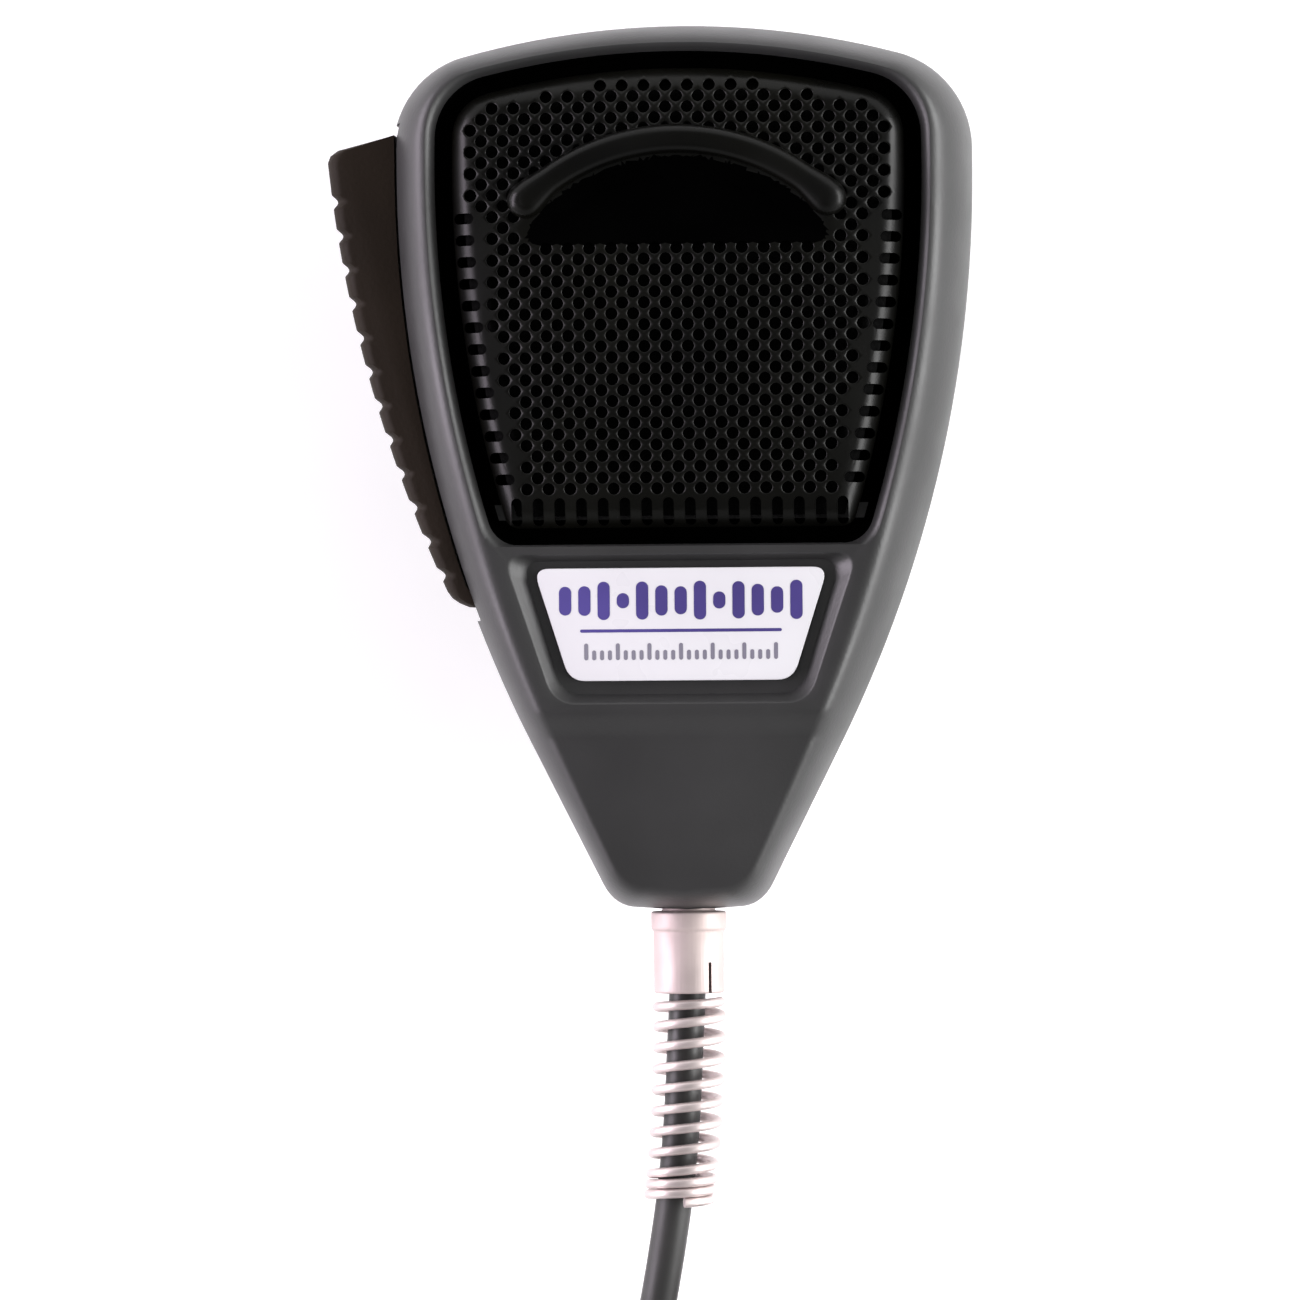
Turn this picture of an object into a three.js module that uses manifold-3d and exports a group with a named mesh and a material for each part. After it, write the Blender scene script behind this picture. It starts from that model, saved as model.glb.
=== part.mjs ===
// A hand microphone for a two-way radio, lying on its hang-up button with its grille up.
// Millimetres. +Y runs up the body to the top of the head, +Z out of the grille, and +X to the right
// of someone who looks at the grille. The origin is the middle of the hang-up button's outer face.
// Parts are laid out in housing coordinates, where Y = 0 is the cord end of the housing; the outer
// group then moves the whole object so that the button's axis is at the origin.
import * as THREE from "three";
import { mergeVertices } from "three/addons/utils/BufferGeometryUtils.js";
import Module from "manifold-3d";

const wasm = await Module();
wasm.setup();

// ---- Driving dimensions ----------------------------------------------------------------------

const GAP = 0.3; // between pieces that touch
const WALL = 2.2; // housing wall
const PARTING_Z = 19; // the covers meet here, and the cord's axis lies in this plane
const SEAM = 0.15; // each cover stops this far from the parting plane

// Front outline of the housing: a crown, round shoulders, long bowed sides and a straight taper.
const CROWN = { x: 0, y: 5, r: 85 };
const SHOULDER = { x: 19.6, y: 77.4, r: 10 };
const SIDE = { x: -100.4, y: 75, r: 130 };
const TAPER_Y = 17; // the sides run straight below this height
const CORD_END_CORNER = 2.4;
const FRONT_Z = 31; // rim crest
const BACK_Z = 5;
const SHOULDER_STEP = { top: 20.4, bottom: 17, depth: 1.3 }; // under the nameplate
const NECK_SLOPE = 0.15; // fall of the neck's front face per millimetre
const BACK_RISE = { from: 36, height: 5.5, power: 1.6 };

// Grille opening, concentric with the housing's outline.
const GRILLE = { crown: 80.4, side: 123.6, bottom: 38.4, corner: 5, bottomCorner: 1.8 };
const GROOVE = 2; // dark channel round the grille
const SHELF_Z = 27.8; // the grille's skirt stands on this shelf
const SKIRT_TOP_Z = 30.4;
const DOME_Z = 34.2;
const DOME_CENTRE_Y = 62;
const SCREEN_T = 0.8;

// Raised arc that rests against the upper lip.
const LIP = { y: 55.7, r: 22.1, width: 3, halfAngle: 44.4, top: 34.8 };

// Nameplate and its bevelled recess: half widths and heights of each edge.
const RECESS_RIM = { topHalf: 18.0, topY: 36.0, bottomHalf: 12.9, bottomY: 20.9, corner: 2.2 };
const RECESS_FLOOR = { topHalf: 16.0, topY: 35.3, bottomHalf: 12.0, bottomY: 21.9, corner: 2.0 };
const NAMEPLATE = { topHalf: 14.9, topY: 34.6, bottomHalf: 11.3, bottomY: 23.2, corner: 1.6 };
const RECESS_Z = 29.7;
const NAMEPLATE_Z = 29.95;
const NAMEPLATE_T = 0.6;

// Hang-up button, on the back.
const BUTTON = { y: 46.5, headR: 6.35, headT: 2, neckR: 3.2, tailR: 2, end: 10.9, edge: 0.4 };
const BUTTON_WASHER = { r: 3.9, top: 8.1 };
const BUTTON_NUT = { across: 7, low: 8.4, high: 10.6 };

// Push-to-talk lever, in a slot on the left side. It turns about a pin near its lower end.
const PIVOT = { x: -18.4, y: 33.5, r: 1.2, low: 9.5, high: 28 };
const SLOT = { low: 29.4, high: 80.1, z0: 12.2, z1: 25.8 };
const LEVER = { low: 30.2, high: 78.9, z0: 12.6, z1: 25.4, inner: 4.4, split: 0.8 };
const LEVER_PROUD = { at: 32.5, base: 1.75, slope: 0.108 }; // how far the grip stands out
const RIB = { pitch: 3.46, first: 34.15, count: 12, depth: 0.5, halfWidth: 0.75 };

// Microphone capsule, on an axis along Z, from its rubber cup up to the ring that clamps it.
const CAPSULE = { x: 1.5, y: 63.5, r: 12.5 };
const BOOT = { r: 14, low: 12, high: 26, floor: 12.9, ventR: 9 };
const CASE = { low: 13.2, high: 22, floor: 14.4, wall: 0.9 };
const MAGNET = { r: 5.8, low: 14.7, high: 18.6 };
const COIL = { r: 6.9, bore: 6.2, low: 17, high: 20.8 };
const DIAPHRAGM = [[0, 21.1], [11.3, 21.1], [11.3, 21.35], [8, 21.35], [5.5, 22], [0, 23.2]];
const CAP = { low: 22.3, high: 24.6, roof: 23.8, wall: 1, holes: 6, holeR: 1.3, holeCircle: 6.5 };
const CLAMP_RING = { r: 15, bore: 11, low: 26.3, high: 27.2 };
const EAR = { reach: 16.4, angles: [90, -60], r: 2.2, holeR: 1.1 };

// Push-to-talk switch.
const SWITCH = { x0: -14.6, x1: -2.6, y0: 38, y1: 49.6, z0: 12.7, z1: 24.5, plungerY: 44 };
const SWITCH_SCREWS = [[-5.6, 40.5], [-11.6, 47.5]];
const PLUNGER = { tip: -18.3, travelRoom: 2.6, half: 1.5, clearance: 0.3, z: 19 };
const TERMINAL = { rows: [40, 44, 48], length: 3, half: 0.6, low: 18.8, high: 19.2 };
const RETURN_SPRING = { y: 56, z: 17, r: 2.1, wire: 0.35, turns: 5 };
const SPRING_RIB = { x0: -17.4, x1: -15.8, half: 4, top: 22 };

// Screws and the posts they bite into.
const COVER_SCREWS = [[-16, 79.3], [16, 79.3], [0, 22]];
const COVER_SCREW = { headR: 2.35, headT: 1.6, shankR: 1.05, tip: 24, sunk: 2.2 };
const COVER_POST = { r: 2.8, footR: 4, pilotR: 1.35 };
const SMALL_SCREW = { headR: 1.5, headT: 0.8, shankR: 0.75, pilotR: 1 };
const CLAMP_SCREWS = [[-4.7, 10], [4.7, 10]];
const STANDOFFS = [[-9, 31], [9, 31]];

// Terminal board and wiring.
const BOARD = { half: 12, y0: 25.6, y1: 36.6, low: 14, high: 15.2 };
const CAPACITOR = { x: 5.5, y: 29, r: 2, low: 15.5, high: 20.5 };
const RESISTOR = { x: -4.5, y: 28.5, z: 16.5, r: 0.9, length: 5 };
const WIRE_R = 0.55;

// Strain relief and cord.
const FERRULE = { collarR: 3.85, collarEnd: -2.2, r: 3.6, end: -8.8, bore: 2.4, tailR: 2.7, tail: 6.4 };
const STRAIN_NUT = { across: 8.4, low: 3.4, high: 5.2 };
const CORD_CLAMP = { half: 6.6, y0: 8.2, y1: 11.8, low: 21.3, high: 22.7 };
const GUARD = { start: -9.65, end: -30.2, meanR: 3.3, wire: 0.5, turns: 9.5, lean: 1.3, sag: 1.5 };
const CORD_R = 1.85;
const CURL_R = 7.2; // outside of the curled stretch
const CURL_Z = 7.3;
const HANK = { x: -3, near: -106, mouth: 7.8, loop: 17, loopY: -188 };
const TIE = { from: -126, to: -117, side: 0.9, top: 0.3, strapSide: 0.8, strapTop: 0.6 };

// Plug, lying beside the cord with its axis along Y.
const PLUG = { x: 10, z: 9.3, rear: -86, shellR: 7.2, shellBore: 6.2, cordBore: 2.6, shellFront: -60 };
const PLUG_RING = { rear: -59.6, front: -44, r: 9.3, bore: 7.5, lipBore: 6.6, lip: 2.2, edge: 0.6 };
const INSERT = { r: 5.9, shoulderR: 6.3, rear: -70, face: -49.2 };
const CONTACT = { circle: 3, r: 1, bore: 0.6, holeR: 1.3, rear: -72, sunk: 0.4 };
const SADDLE = { half: 3.6, y0: -85.4, y1: -81.6, low: 12.7, high: 13.9 };
const SADDLE_SCREW = { reach: 2.7, y: -83.6, r: 1, low: 14.2, high: 15.2 };

// ---- Solids ----------------------------------------------------------------------------------

/** A closed three.js geometry as a manifold solid, whichever way its faces were wound. */
function solid(geometry) {
  const bare = new THREE.BufferGeometry();
  bare.setAttribute("position", geometry.getAttribute("position"));
  if (geometry.index) bare.setIndex(geometry.index);
  const merged = mergeVertices(bare, 1e-4);
  const index = [];
  for (let i = 0; i < merged.index.count; i += 3) {
    const [a, b, c] = [0, 1, 2].map((k) => merged.index.getX(i + k));
    if (a !== b && b !== c && a !== c) index.push(a, b, c);
  }
  const wrap = (tris) =>
    new wasm.Manifold(
      new wasm.Mesh({
        numProp: 3,
        vertProperties: Float32Array.from(merged.getAttribute("position").array),
        triVerts: new Uint32Array(tris),
      }),
    );
  const made = wrap(index);
  return made.volume() < 0 ? wrap(index.reverse()) : made;
}

const join = (...parts) => parts.reduce((whole, part) => whole.add(part));
const cut = (whole, ...tools) => tools.reduce((left, tool) => left.subtract(tool), whole);

/** A box between two corners. */
function box(x0, x1, y0, y1, z0, z1) {
  const made = new THREE.BoxGeometry(x1 - x0, y1 - y0, z1 - z0);
  return solid(made.translate((x0 + x1) / 2, (y0 + y1) / 2, (z0 + z1) / 2));
}

/** A solid of revolution about Z, from [radius, z] points that start and end on the axis or close. */
function revolve(profile, segments = 24) {
  const points = profile.map(([r, z]) => new THREE.Vector2(r, z));
  return solid(new THREE.LatheGeometry(points, segments).rotateX(Math.PI / 2));
}

/** A cylinder along Z. */
const rod = (x, y, r, z0, z1, segments = 14) =>
  revolve([[0, z0], [r, z0], [r, z1], [0, z1]], segments).translate(x, y, 0);

/** A tube along Z, open at both ends. */
const tube = (x, y, outer, inner, z0, z1, segments = 24) =>
  cut(rod(x, y, outer, z0, z1, segments), rod(x, y, inner, z0 - 1, z1 + 1, segments));

/** Turns a solid whose axis is Z so that it points along +Y. */
const alongY = (part) => part.rotate(-90, 0, 0);

/** A solid through rings of points. A ring runs from its top point down the right and up the left. */
function loft(rings) {
  const n = rings[0].length;
  const half = n / 2;
  const index = [];
  const quad = (a, b, c, d) => index.push(a, b, c, a, c, d);
  for (let k = 0; k < rings.length - 1; k++)
    for (let i = 0; i < n; i++) {
      const next = (i + 1) % n;
      quad(k * n + i, k * n + next, (k + 1) * n + next, (k + 1) * n + i);
    }
  const cap = (start, flip) => {
    for (let i = 0; i < half; i++) {
      const corners = [start + i, start + i + 1, start + ((n - i - 1) % n), start + ((n - i) % n)];
      if (flip) corners.reverse();
      quad(...corners);
    }
  };
  cap(0, true);
  cap((rings.length - 1) * n, false);
  const geometry = new THREE.BufferGeometry();
  const positions = rings.flat().flatMap((p) => [p.x, p.y, p.z]);
  geometry.setAttribute("position", new THREE.Float32BufferAttribute(positions, 3));
  geometry.setIndex(index);
  return solid(geometry);
}

/** A whole ring from its right half, with z from a function of y. */
function ring(half, zOf) {
  const left = half.slice(1, -1).reverse().map(([x, y]) => [-x, y]);
  return [...half, ...left].map(([x, y]) => new THREE.Vector3(x, y, zOf(y)));
}

/** An upright prism on a half outline. */
const prism = (half, z0, z1) => loft([ring(half, () => z0), ring(half, () => z1)]);

/** A round section swept along a smooth curve through points. */
function sweep(points, radius, sides, steps) {
  const path = points instanceof THREE.Curve
    ? points
    : new THREE.CatmullRomCurve3(points.map((p) => new THREE.Vector3(...p)), false, "centripetal");
  const section = new THREE.Shape().absarc(0, 0, radius, 0, 2 * Math.PI);
  const corners = section.getSpacedPoints(sides).slice(0, sides);
  const options = { steps, extrudePath: path, bevelEnabled: false };
  return solid(new THREE.ExtrudeGeometry(new THREE.Shape(corners), options));
}

/** A helix along a centre line: where(t) gives the middle, and across(t) two unit vectors. */
function helix(where, across, radius, wire, turns, sides, stepsPerTurn) {
  class Winding extends THREE.Curve {
    getPoint(t, target = new THREE.Vector3()) {
      const angle = 2 * Math.PI * turns * t;
      const [u, v] = across(t);
      target.copy(where(t)).addScaledVector(u, radius * Math.cos(angle));
      return target.addScaledVector(v, radius * Math.sin(angle));
    }
  }
  return sweep(new Winding(), wire, sides, Math.round(turns * stepsPerTurn));
}

const circleMeet = (a, ra, b, rb) => {
  const dx = b.x - a.x;
  const dy = b.y - a.y;
  const d = Math.hypot(dx, dy);
  const along = (d * d + ra * ra - rb * rb) / (2 * d);
  const off = Math.sqrt(ra * ra - along * along);
  return [a.x + (dx * along - dy * off) / d, a.y + (dy * along + dx * off) / d];
};

/** Points on an arc about [x, y], angles in radians, ends included. */
const arc = (x, y, r, from, to, steps) =>
  Array.from({ length: steps + 1 }, (_, i) => {
    const a = from + ((to - from) * i) / steps;
    return [x + r * Math.cos(a), y + r * Math.sin(a)];
  });

/** A corner rounded by a quadratic curve from a to b that heads for the corner point c. */
const bend = (a, c, b, steps) =>
  Array.from({ length: steps + 1 }, (_, i) => {
    const t = i / steps;
    const mix = (k) => (1 - t) ** 2 * a[k] + 2 * t * (1 - t) * c[k] + t * t * b[k];
    return [mix(0), mix(1)];
  });

const smooth = (t) => {
  const k = Math.min(1, Math.max(0, t));
  return k * k * (3 - 2 * k);
};

// ---- Housing shape ---------------------------------------------------------------------------

const SIDE_ROWS = [75, 67, 59, 51, 43.5, 36.5, 30, 24.5, 20.4, 19.3, 18.2, 17, 12.5, 8];

/** Half width of the housing's outline at height y. */
function halfWidth(y) {
  if (y >= SIDE.y) return SIDE.x + SIDE.r;
  const at = (h) => SIDE.x + Math.sqrt(SIDE.r ** 2 - (SIDE.y - h) ** 2);
  if (y >= TAPER_Y) return at(y);
  const lean = (SIDE.y - TAPER_Y) / Math.sqrt(SIDE.r ** 2 - (SIDE.y - TAPER_Y) ** 2);
  return at(TAPER_Y) - lean * (TAPER_Y - y);
}

/** Right half of the outline moved in by even + inset, where inset is weighted round the outline. */
function housingHalf(inset, even, weight) {
  const corner = Math.atan2(SHOULDER.y - CROWN.y, SHOULDER.x);
  const crown = arc(CROWN.x, CROWN.y, CROWN.r - even - inset * weight.top, Math.PI / 2, corner, 4);
  const round = Array.from({ length: 5 }, (_, i) => {
    const share = (i + 1) / 5;
    const angle = corner * (1 - share);
    const r = SHOULDER.r - even - inset * (weight.top + (weight.side - weight.top) * smooth(share));
    return [SHOULDER.x + r * Math.cos(angle), SHOULDER.y + r * Math.sin(angle)];
  });
  const width = (y) => {
    const sine = Math.min(1, Math.max(0, (SIDE.y - Math.max(y, TAPER_Y)) / SIDE.r));
    const share = weight.base + (weight.side - weight.base) * smooth(y / 45);
    return halfWidth(y) - (even + inset * share) / Math.sqrt(1 - sine ** 2);
  };
  const end = even + inset * weight.base;
  const rows = SIDE_ROWS.map((y) => [width(y), y]);
  const turn = end + CORD_END_CORNER;
  const base = bend([width(turn), turn], [width(end), end], [width(end) - CORD_END_CORNER, end], 3);
  return [...crown, ...round, ...rows, ...base, [0, end - 0.35]];
}

/** Height of the flat front face at y, and of the back face. */
function frontZ(y) {
  const { top, bottom, depth } = SHOULDER_STEP;
  return FRONT_Z - depth * smooth((top - y) / (top - bottom)) - NECK_SLOPE * Math.max(0, bottom - y);
}
const backZ = (y) =>
  BACK_Z + BACK_RISE.height * Math.max(0, (BACK_RISE.from - y) / BACK_RISE.from) ** BACK_RISE.power;

const FRONT_WEIGHT = { top: 0.6, side: 1, base: 0.55 };
const BACK_WEIGHT = { top: 0.85, side: 1, base: 0.4 };
// Rounding of each edge: [inset, share of the way from the parting plane to the flat face].
const FRONT_PROFILE = [[0.15, 0.25], [0.5, 0.47], [1.3, 0.68], [2.4, 0.84], [3.5, 0.95], [4.4, 1]];
const BACK_PROFILE = [[0.2, 0.3], [0.8, 0.5], [1.9, 0.69], [3.6, 0.84], [5.6, 0.94], [8, 1]];

/** The housing as one solid, moved in by an even thickness all over. */
function housing(even) {
  const level = (inset, weight, share, face) =>
    ring(housingHalf(inset, even, weight), (y) => PARTING_Z + share * (face(y) - PARTING_Z));
  const front = (y) => frontZ(y) - even;
  const back = (y) => backZ(y) + even;
  return loft([
    ...BACK_PROFILE.map(([inset, share]) => level(inset, BACK_WEIGHT, share, back)).reverse(),
    level(0, FRONT_WEIGHT, 0, front),
    ...FRONT_PROFILE.map(([inset, share]) => level(inset, FRONT_WEIGHT, share, front)),
  ]);
}

const GRILLE_CORNER = circleMeet(
  SIDE,
  GRILLE.side - GRILLE.corner,
  CROWN,
  GRILLE.crown - GRILLE.corner,
);

/** Right half of the grille's outline, moved out by an offset. */
function grilleHalf(offset) {
  const [cx, cy] = GRILLE_CORNER;
  const up = Math.atan2(cy - CROWN.y, cx - CROWN.x);
  const down = Math.atan2(cy - SIDE.y, cx - SIDE.x);
  const lowY = GRILLE.bottom + GRILLE.bottomCorner;
  const reach = GRILLE.side - GRILLE.bottomCorner;
  const lowX = SIDE.x + Math.sqrt(reach ** 2 - (SIDE.y - lowY) ** 2);
  const low = Math.atan2(lowY - SIDE.y, lowX - SIDE.x);
  return [
    ...arc(CROWN.x, CROWN.y, GRILLE.crown + offset, Math.PI / 2, up, 3),
    ...arc(cx, cy, GRILLE.corner + offset, up, down, 4).slice(1),
    ...arc(SIDE.x, SIDE.y, GRILLE.side + offset, down, low, 5).slice(1),
    ...arc(lowX, lowY, GRILLE.bottomCorner + offset, low, -Math.PI / 2, 2).slice(1),
    [0, GRILLE.bottom - offset],
  ];
}

/** The grille's outline shrunk towards the middle of the dome. */
const shrunk = (half, share) =>
  half.map(([x, y]) => [x * share, DOME_CENTRE_Y + (y - DOME_CENTRE_Y) * share]);

/** The pressed dome as a solid, its skirt standing on z0. */
function dome(offset, z0, drop) {
  const edge = grilleHalf(offset);
  const at = (share) => SKIRT_TOP_Z + 0.9 + (DOME_Z - SKIRT_TOP_Z - 0.9) * (1 - share ** 2) - drop;
  return loft([
    ring(edge, () => z0),
    ring(edge, () => SKIRT_TOP_Z - drop),
    ...[0.96, 0.86, 0.66, 0.4, 0.15].map((share) => ring(shrunk(edge, share), () => at(share))),
  ]);
}

/** Right half of a trapezoid with rounded corners. */
function trapezoidHalf({ topHalf, topY, bottomHalf, bottomY, corner }) {
  const slope = (topHalf - bottomHalf) / (topY - bottomY);
  const side = (y) => [bottomHalf + slope * (y - bottomY), y];
  return [
    [0, topY],
    ...bend([topHalf - corner, topY], [topHalf, topY], side(topY - corner), 3),
    ...bend(side(bottomY + corner), [bottomHalf, bottomY], [bottomHalf - corner, bottomY], 3),
    [0, bottomY],
  ];
}

// ---- Covers ----------------------------------------------------------------------------------

const shell = cut(housing(0), housing(WALL));
const cordHole = alongY(rod(0, 0, FERRULE.tailR + GAP, -4, 8)).translate(0, 0, PARTING_Z);
const leverSlot = join(
  box(-40, -19.2, SLOT.low + 5, SLOT.high, SLOT.z0, SLOT.z1),
  box(-40, -14.8, SLOT.low, SLOT.low + 8, SLOT.z0, SLOT.z1),
);
const everything = (z0, z1) => box(-60, 60, -10, 110, z0, z1);
const inside = housing(0.4);

function frontCover() {
  const shelf = prism(grilleHalf(4.2), SHELF_Z - 1.8, 30.6).intersect(inside);
  const postTop = (y) => (y > DOME_CENTRE_Y ? SHELF_Z : 30);
  const posts = COVER_SCREWS.map(([x, y]) => rod(x, y, COVER_POST.r, PARTING_Z + SEAM, postTop(y)));
  const webs = COVER_SCREWS.slice(0, 2).map(([x, y]) =>
    box(Math.min(x, 1.35 * x), Math.max(x, 1.35 * x), y - 2, y + 4.5, SHELF_Z - 1.8, SHELF_Z),
  );
  const boss = rod(PIVOT.x, PIVOT.y, 2.6, SLOT.z1, 30);
  const inner = join(...posts, ...webs, boss).intersect(inside);
  const groove = loft([
    ring(grilleHalf(0.7), () => SHELF_Z),
    ring(grilleHalf(1.1), () => SHELF_Z + 1),
    ring(grilleHalf(GROOVE), () => FRONT_Z + 0.2),
  ]);
  const recess = loft([
    ring(trapezoidHalf(RECESS_FLOOR), () => RECESS_Z),
    ring(trapezoidHalf(RECESS_RIM), () => FRONT_Z + 0.01),
    ring(trapezoidHalf(RECESS_RIM), () => FRONT_Z + 2),
  ]);
  // The shelf is opened first, so that the screw posts under the grille stay whole.
  const body = cut(shell.add(shelf), prism(grilleHalf(-1.8), 20, SHELF_Z + 4));
  const pilots = COVER_SCREWS.map(([x, y]) => rod(x, y, COVER_POST.pilotR, PARTING_Z - 1, 25.5, 12));
  return cut(
    body.add(inner),
    groove,
    recess,
    ...pilots,
    rod(PIVOT.x, PIVOT.y, PIVOT.r + GAP, SLOT.z1 - 1, 28.3, 14),
    leverSlot,
    cordHole,
    everything(-10, PARTING_Z + SEAM),
  );
}

const earPlaces = EAR.angles.map((degrees) => {
  const a = THREE.MathUtils.degToRad(degrees);
  return [CAPSULE.x + EAR.reach * Math.cos(a), CAPSULE.y + EAR.reach * Math.sin(a)];
});

/** Everything that stands on the rear cover's floor: posts, the capsule's seat and the spring's rib. */
function rearPosts() {
  const post = (x, y, r, top) => rod(x, y, r, BACK_Z, top, 10);
  const { x0, x1, half, top } = SPRING_RIB;
  return join(
    ...COVER_SCREWS.map(([x, y]) => post(x, y, COVER_POST.r, PARTING_Z - SEAM)),
    ...COVER_SCREWS.map(([x, y]) => post(x, y, COVER_POST.footR, backZ(y) + 4)),
    ...earPlaces.map(([x, y]) => post(x, y, 2, CLAMP_RING.low - GAP)),
    ...CLAMP_SCREWS.map(([x, y]) => post(x, y, 1.8, CORD_CLAMP.low - GAP)),
    ...STANDOFFS.map(([x, y]) => post(x, y, 1.6, BOARD.low - GAP)),
    ...SWITCH_SCREWS.map(([x, y]) => post(x, y, 1.8, SWITCH.z0 - GAP)),
    tube(CAPSULE.x, CAPSULE.y, 12, 10, BACK_Z, BOOT.low - GAP),
    box(x0, x1, RETURN_SPRING.y - half, RETURN_SPRING.y + half, BACK_Z, top),
    post(PIVOT.x, PIVOT.y, 2.6, SLOT.z0),
  );
}

function rearCover() {
  const grown = rearPosts().intersect(inside.add(box(-15, 15, 5, 82, 10, 27)));
  const holes = COVER_SCREWS.flatMap(([x, y]) => [
    rod(x, y, 1.4, 0, 25, 12),
    rod(x, y, COVER_SCREW.headR + 0.4, 0, backZ(y) + COVER_SCREW.sunk, 20),
  ]);
  const bitten = [...earPlaces, ...CLAMP_SCREWS, ...SWITCH_SCREWS];
  const pilots = bitten.map(([x, y]) => rod(x, y, SMALL_SCREW.pilotR, 9.5, 30, 8));
  const kept = cut(shell, everything(PARTING_Z - SEAM, 60), leverSlot, cordHole);
  return cut(
    kept.add(grown),
    ...holes,
    ...pilots,
    rod(PIVOT.x, PIVOT.y, PIVOT.r + GAP, 9.2, 14, 14),
    rod(0, BUTTON.y, BUTTON.tailR + GAP, 0, 9, 16),
    box(-1, 7.5, 50, 55, 8.2, 12),
    leverSlot,
  );
}

// ---- Fasteners -------------------------------------------------------------------------------

/** A cross-recessed screw that points along -Z, its head's underside at z = 0. */
function screw(headR, headT, shankR, length, recess = true) {
  const body = revolve([[0, -length], [shankR * 0.5, -length], [shankR, -length + 0.8], [shankR, 0],
    [headR, 0], [headR, headT / 2], [headR * 0.75, headT], [0, headT]], recess ? 12 : 8);
  if (!recess) return body;
  const long = headR * 0.62;
  const wide = headR * 0.13;
  const bar = (x, y) => box(-x, x, -y, y, headT / 2, headT + 1);
  return cut(body, bar(long, wide), bar(wide, long));
}

/** A hexagon nut with its axis along Z. */
const nut = (across, bore, z0, z1) =>
  cut(rod(0, 0, across / Math.sqrt(3), z0, z1, 6), rod(0, 0, bore, z0 - 1, z1 + 1, 16));

// ---- Push-to-talk lever ----------------------------------------------------------------------

const gripX = (y) => {
  const proud = LEVER_PROUD.base + LEVER_PROUD.slope * (y - LEVER_PROUD.at);
  return -(halfWidth(y) + proud);
};
const insetX = (y, inset) => -(halfWidth(y) - inset);

/** Points up the grip's ribbed edge: a flat land between each pair of narrow grooves. */
function ribbedEdge() {
  const points = [];
  for (let i = 0; i < RIB.count; i++) {
    const y = RIB.first + i * RIB.pitch;
    points.push([gripX(y - RIB.halfWidth), y - RIB.halfWidth]);
    points.push([gripX(y) + RIB.depth, y]);
    points.push([gripX(y + RIB.halfWidth), y + RIB.halfWidth]);
  }
  return points;
}

function extrudeZ(points, z0, z1) {
  const shape = new THREE.Shape(points.map(([x, y]) => new THREE.Vector2(x, y)));
  const made = new THREE.ExtrudeGeometry(shape, { depth: z1 - z0, bevelEnabled: false });
  return solid(made.translate(0, 0, z0));
}

function pttGrip() {
  const rows = [75, 66, 57, 48, 40, 33];
  const outline = [
    [insetX(LEVER.low, -0.3), LEVER.low + 0.6],
    [gripX(LEVER.low + 1.4) + 0.3, LEVER.low + 1.4],
    ...ribbedEdge(),
    [gripX(75.4), 75.4],
    [gripX(77) + 0.1, 76.6],
    [gripX(77) + 1.1, 77.6],
    [insetX(LEVER.high, LEVER.split - GAP), LEVER.high],
    ...rows.map((y) => [insetX(y, LEVER.split - GAP), y]),
  ];
  return extrudeZ(outline, LEVER.z0, LEVER.z1);
}

function pttCarrier() {
  const rows = [33, 40, 48, 57, 66, 75];
  const outline = [
    ...rows.map((y) => [insetX(y, LEVER.split), y]),
    [insetX(LEVER.high, LEVER.split), LEVER.high],
    [insetX(LEVER.high, LEVER.inner), LEVER.high],
    ...[...rows].reverse().map((y) => [insetX(y, LEVER.inner), y]),
  ];
  const arm = extrudeZ(outline, LEVER.z0, LEVER.z1);
  const hub = rod(PIVOT.x, PIVOT.y, 3, LEVER.z0, LEVER.z1);
  const pusher = box(-22, -18.6, SWITCH.plungerY - 1.6, SWITCH.plungerY + 1.6, 16.6, 21.4);
  const hook = box(-26, -24.3, LEVER.high - 1, 81, 15.5, 22.5);
  const grip = box(-40, insetX(LEVER.low, 0.8), 20, 31.5, 0, 40);
  return cut(join(arm, hub, pusher, hook), rod(PIVOT.x, PIVOT.y, PIVOT.r + GAP, 0, 40, 14), grip);
}

/** Return spring of the lever, between the carrier and a rib of the rear cover. */
function returnSpring() {
  const from = insetX(RETURN_SPRING.y, LEVER.inner) + GAP + RETURN_SPRING.wire;
  const to = SPRING_RIB.x0 - GAP - RETURN_SPRING.wire;
  const where = (t) => new THREE.Vector3(from + (to - from) * t, RETURN_SPRING.y, RETURN_SPRING.z);
  const across = () => [new THREE.Vector3(0, 1, 0), new THREE.Vector3(0, 0, 1)];
  return helix(where, across, RETURN_SPRING.r, RETURN_SPRING.wire, RETURN_SPRING.turns, 5, 10);
}

// ---- Cord ------------------------------------------------------------------------------------

/** Middle of the spring guard: it leaves the ferrule straight, then leans and sags a little. */
function guardMiddle(t) {
  const y = GUARD.start + (GUARD.end - GUARD.start) * t;
  return new THREE.Vector3(-GUARD.lean * t ** 2.2, y, PARTING_Z - GUARD.sag * t ** 2);
}

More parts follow.
